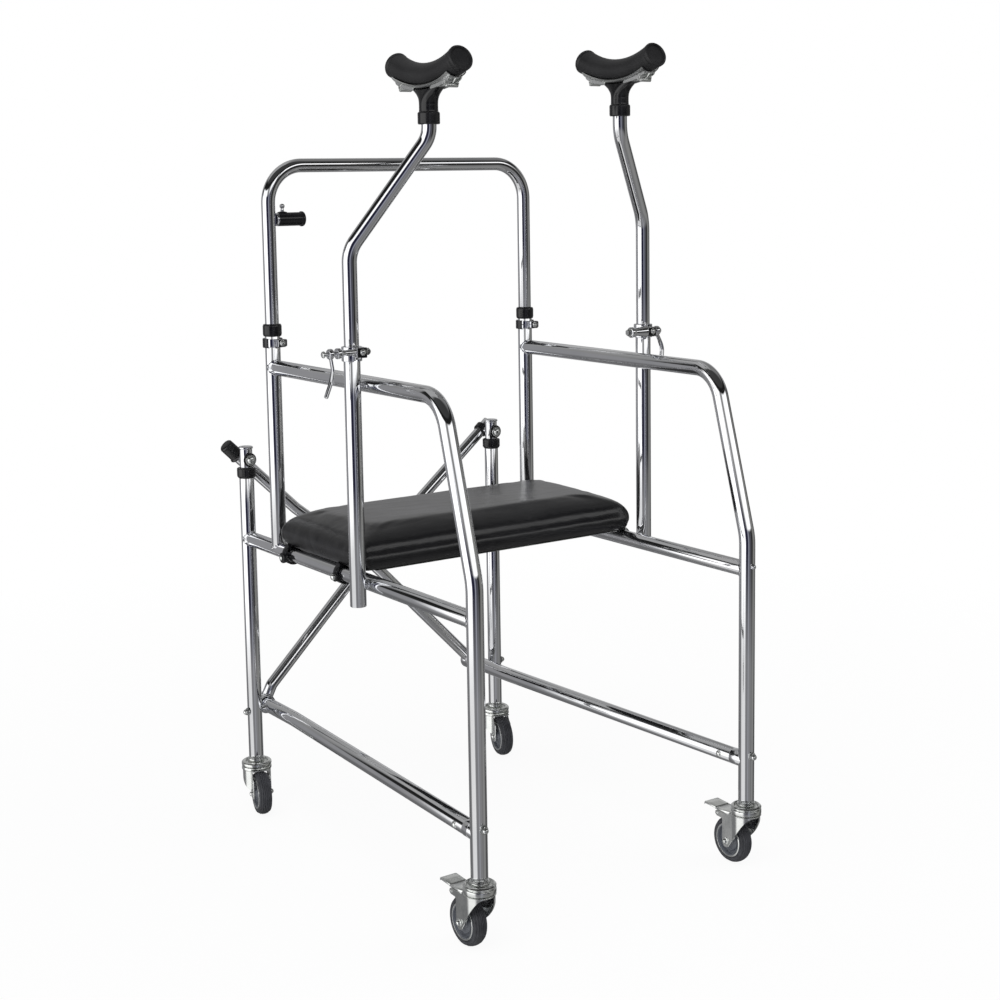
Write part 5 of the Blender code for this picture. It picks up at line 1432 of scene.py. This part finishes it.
def add_camera():
    level = math.cos(CAMERA_PITCH)
    ahead = Vector((math.sin(CAMERA_YAW) * level, math.cos(CAMERA_YAW) * level, math.sin(CAMERA_PITCH)))
    right = ahead.cross(UP).normalized()
    up = right.cross(ahead)
    rolled_right = right * math.cos(CAMERA_ROLL) + up * math.sin(CAMERA_ROLL)
    rolled_up = up * math.cos(CAMERA_ROLL) - right * math.sin(CAMERA_ROLL)
    lens = bpy.data.cameras.new("camera")
    lens.sensor_width = SENSOR_WIDTH
    lens.lens = FOCAL_PIXELS / FRAME_PIXELS * SENSOR_WIDTH
    lens.shift_x = (FRAME_PIXELS / 2 - CENTRE_PIXELS[0]) / FRAME_PIXELS
    lens.shift_y = (CENTRE_PIXELS[1] - FRAME_PIXELS / 2) / FRAME_PIXELS
    lens.clip_end = 60.0
    obj = bpy.data.objects.new("camera", lens)
    turn = Matrix((rolled_right, rolled_up, -ahead)).transposed().to_4x4()
    obj.matrix_world = Matrix.Translation(CAMERA_AT) @ turn
    bpy.context.scene.collection.objects.link(obj)
    bpy.context.scene.camera = obj


def add_floor():
    """Wide pale floor: it keeps the shadow near the walker and fades to plain white further out."""
    shape = bmesh.new()
    bmesh.ops.create_circle(shape, cap_ends=True, radius=14.0, segments=96)
    mesh = bpy.data.meshes.new("floor")
    shape.to_mesh(mesh)
    shape.free()
    floor = bpy.data.objects.new("floor", mesh)
    bpy.context.scene.collection.objects.link(floor)
    made = bpy.data.materials.new("floor_white")
    made.use_nodes = True
    tree = made.node_tree
    tree.nodes.clear()
    ray = node(tree, "LightPath").outputs
    direct = ray["Is Camera Ray"]
    for other in (ray["Is Glossy Ray"], ray["Is Transmission Ray"]):
        direct = node(tree, "Math", operation="MAXIMUM", _0=direct, _1=other).outputs[0]
    place = node(tree, "NewGeometry").outputs["Position"]
    distance = node(tree, "VectorMath", operation="LENGTH", _0=place).outputs["Value"]
    fade = node(tree, "MapRange", Value=distance, From_Min=0.7, From_Max=2.2, To_Min=0.93, To_Max=1.0)
    amount = node(tree, "Math", operation="MULTIPLY", _0=direct, _1=fade.outputs["Result"]).outputs[0]
    diffuse = node(tree, "BsdfDiffuse", Color=(0.80, 0.80, 0.80, 1.0)).outputs[0]
    glow = node(tree, "Emission", Strength=1.0).outputs[0]
    lit = node(tree, "MixShader", _0=amount, _1=diffuse, _2=glow).outputs[0]
    clear = node(tree, "BsdfTransparent").outputs[0]
    mixed = node(tree, "MixShader", _0=ray["Is Glossy Ray"], _1=lit, _2=clear).outputs[0]
    node(tree, "OutputMaterial", Surface=mixed)
    mesh.materials.append(made)


# Light round the walker, by direction in degrees: 0 is toward the camera and positive to its right
LEVEL_LIGHT = (
    (-180, (0.36, 0.36, 0.37)), (-150, (0.30, 0.30, 0.31)), (-120, (0.26, 0.26, 0.27)),
    (-98, (0.28, 0.28, 0.29)), (-90, (1.50, 1.50, 1.50)), (-33, (1.50, 1.50, 1.50)),
    (-25, (0.10, 0.10, 0.14)), (-17, (0.012, 0.012, 0.03)), (4, (0.018, 0.018, 0.04)),
    (11, (0.30, 0.31, 0.37)), (19, (0.26, 0.27, 0.32)), (27, (0.05, 0.05, 0.07)), (46, (0.09, 0.09, 0.10)),
    (58, (0.015, 0.015, 0.015)), (70, (0.02, 0.02, 0.02)), (84, (0.20, 0.20, 0.19)),
    (110, (0.24, 0.24, 0.23)), (126, (0.04, 0.04, 0.04)), (142, (0.10, 0.10, 0.10)),
    (156, (0.42, 0.42, 0.42)), (180, (0.36, 0.36, 0.37)),
)
HIGHER_LIGHT = (
    (-180, 0.52), (-150, 0.34), (-130, 0.26), (-116, 0.24), (-110, 0.02), (-93, 0.02), (-86, 1.30),
    (-24, 1.30), (-14, 0.40), (-4, 0.20), (6, 0.28), (14, 1.10), (56, 1.40), (76, 1.40), (88, 0.12),
    (108, 0.07), (128, 0.25), (156, 0.46), (180, 0.52),
)
STEEP_LIGHT = (
    (-180, 0.34), (-150, 0.32), (-118, 0.28), (-111, 0.012), (120, 0.012), (150, 0.16), (180, 0.34),
)
OVERHEAD_LIGHT = (
    (-180, 0.24), (-165, 0.36), (-92, 0.38), (-78, 0.05), (80, 0.04), (100, 0.12), (120, 0.20), (150, 0.17),
    (180, 0.24),
)
# Light from below, by how far the direction points toward the camera, from 0 to 1
LOWER_LIGHT = ((0.0, 0.05), (0.34, 0.07), (0.42, 0.26), (1.0, 0.36))


def mix(tree, amount, first, second):
    return node(tree, "Mix", data_type="RGBA", _0=amount, _6=first, _7=second).outputs[2]


def add_world():
    """Studio round the walker: soft boxes and dark flats by direction, and a plain white backdrop."""
    back = Vector((-math.sin(CAMERA_YAW), -math.cos(CAMERA_YAW), 0))
    right = Vector((math.cos(CAMERA_YAW), -math.sin(CAMERA_YAW), 0))
    world = bpy.data.worlds.new("studio")
    bpy.context.scene.world = world
    world.use_nodes = True
    tree = world.node_tree
    tree.nodes.clear()
    place = node(tree, "TexCoord").outputs["Generated"]
    sideways, toward, height = (
        node(tree, "VectorMath", operation="DOT_PRODUCT", _0=place, _1=way).outputs["Value"]
        for way in (right, back, UP)
    )
    turn = node(tree, "Math", operation="ARCTAN2", _0=sideways, _1=toward).outputs[0]
    share = node(tree, "MapRange", Value=turn, From_Min=-math.pi, From_Max=math.pi).outputs["Result"]
    around, upper, steep, overhead = (
        ramp(tree, [(angle / 360 + 0.5, light) for angle, light in lights], share)
        for lights in (LEVEL_LIGHT, HIGHER_LIGHT, STEEP_LIGHT, OVERHEAD_LIGHT)
    )
    depth = node(tree, "MapRange", Value=toward, From_Min=-1.0, From_Max=1.0).outputs["Result"]
    lower = mix(tree, 0.60, around, ramp(tree, LOWER_LIGHT, depth))
    # Each light takes over between two heights of a direction, from -1 straight down to 1 straight up
    colour = around
    for first, last, light in (
        (-0.20, -0.44, lower), (0.18, 0.24, upper), (0.40, 0.45, steep), (0.60, 0.66, overhead)
    ):
        amount = node(tree, "MapRange", Value=height, From_Min=first, From_Max=last).outputs["Result"]
        colour = mix(tree, amount, colour, light)
    ray = node(tree, "LightPath").outputs
    colour = mix(tree, ray["Is Diffuse Ray"], colour, (0.62, 0.62, 0.63, 1.0))
    colour = mix(tree, ray["Is Camera Ray"], colour, (1.0, 1.0, 1.0, 1.0))
    glow = node(tree, "Background", Color=colour, Strength=1.0).outputs[0]
    node(tree, "OutputWorld", Surface=glow)


def add_lamp(name, place, size, power):
    """Square area lamp aimed at the walker's middle, unseen in reflections."""
    target = Vector((0, 0, 0.5))
    data = bpy.data.lights.new(name, "AREA")
    data.shape = "SQUARE"
    data.size = size
    data.energy = power
    lamp = bpy.data.objects.new(name, data)
    lamp.location = place
    lamp.rotation_euler = (target - Vector(place)).to_track_quat("-Z", "Y").to_euler()
    lamp.visible_glossy = False
    bpy.context.scene.collection.objects.link(lamp)


# The whole walker

for side, s in SIDES:
    for make in (
        side_frame, lower_rail, rail_bolts, post_fittings, leg_collar, slide_head, underarm_tube, pad_holder,
        pad_cradle, underarm_pad, quick_clamp, clamp_lever,
    ):
        make(side, s)
    foot = Vector((s * HALF, 0, 0))
    caster(side, "rear", foot, REAR_FOOT_Z, REAR_CASTER_TURN, REAR_HEAD_R, REAR_FORK_TOP_Z, True)
    foot = Vector((s * HALF, FRONT_Y, 0))
    caster(side, "front", foot, FRONT_FOOT_Z, FRONT_CASTER_TURN, FRONT_HEAD_R, FRONT_FORK_TOP_Z, False)
brace("brace_a", -1)
brace("brace_b", 1)
brace_bolt()
brace_ends()
hoop()
hoop_grip()
seat_board()
cushion()
add_camera()
add_floor()
add_world()
add_lamp("key_lamp", (-1.6, -1.2, 3.4), 2.4, 62.0)
add_lamp("fill_lamp", (2.2, -1.6, 2.0), 2.0, 18.0)
bpy.context.scene.view_settings.view_transform = "Standard"
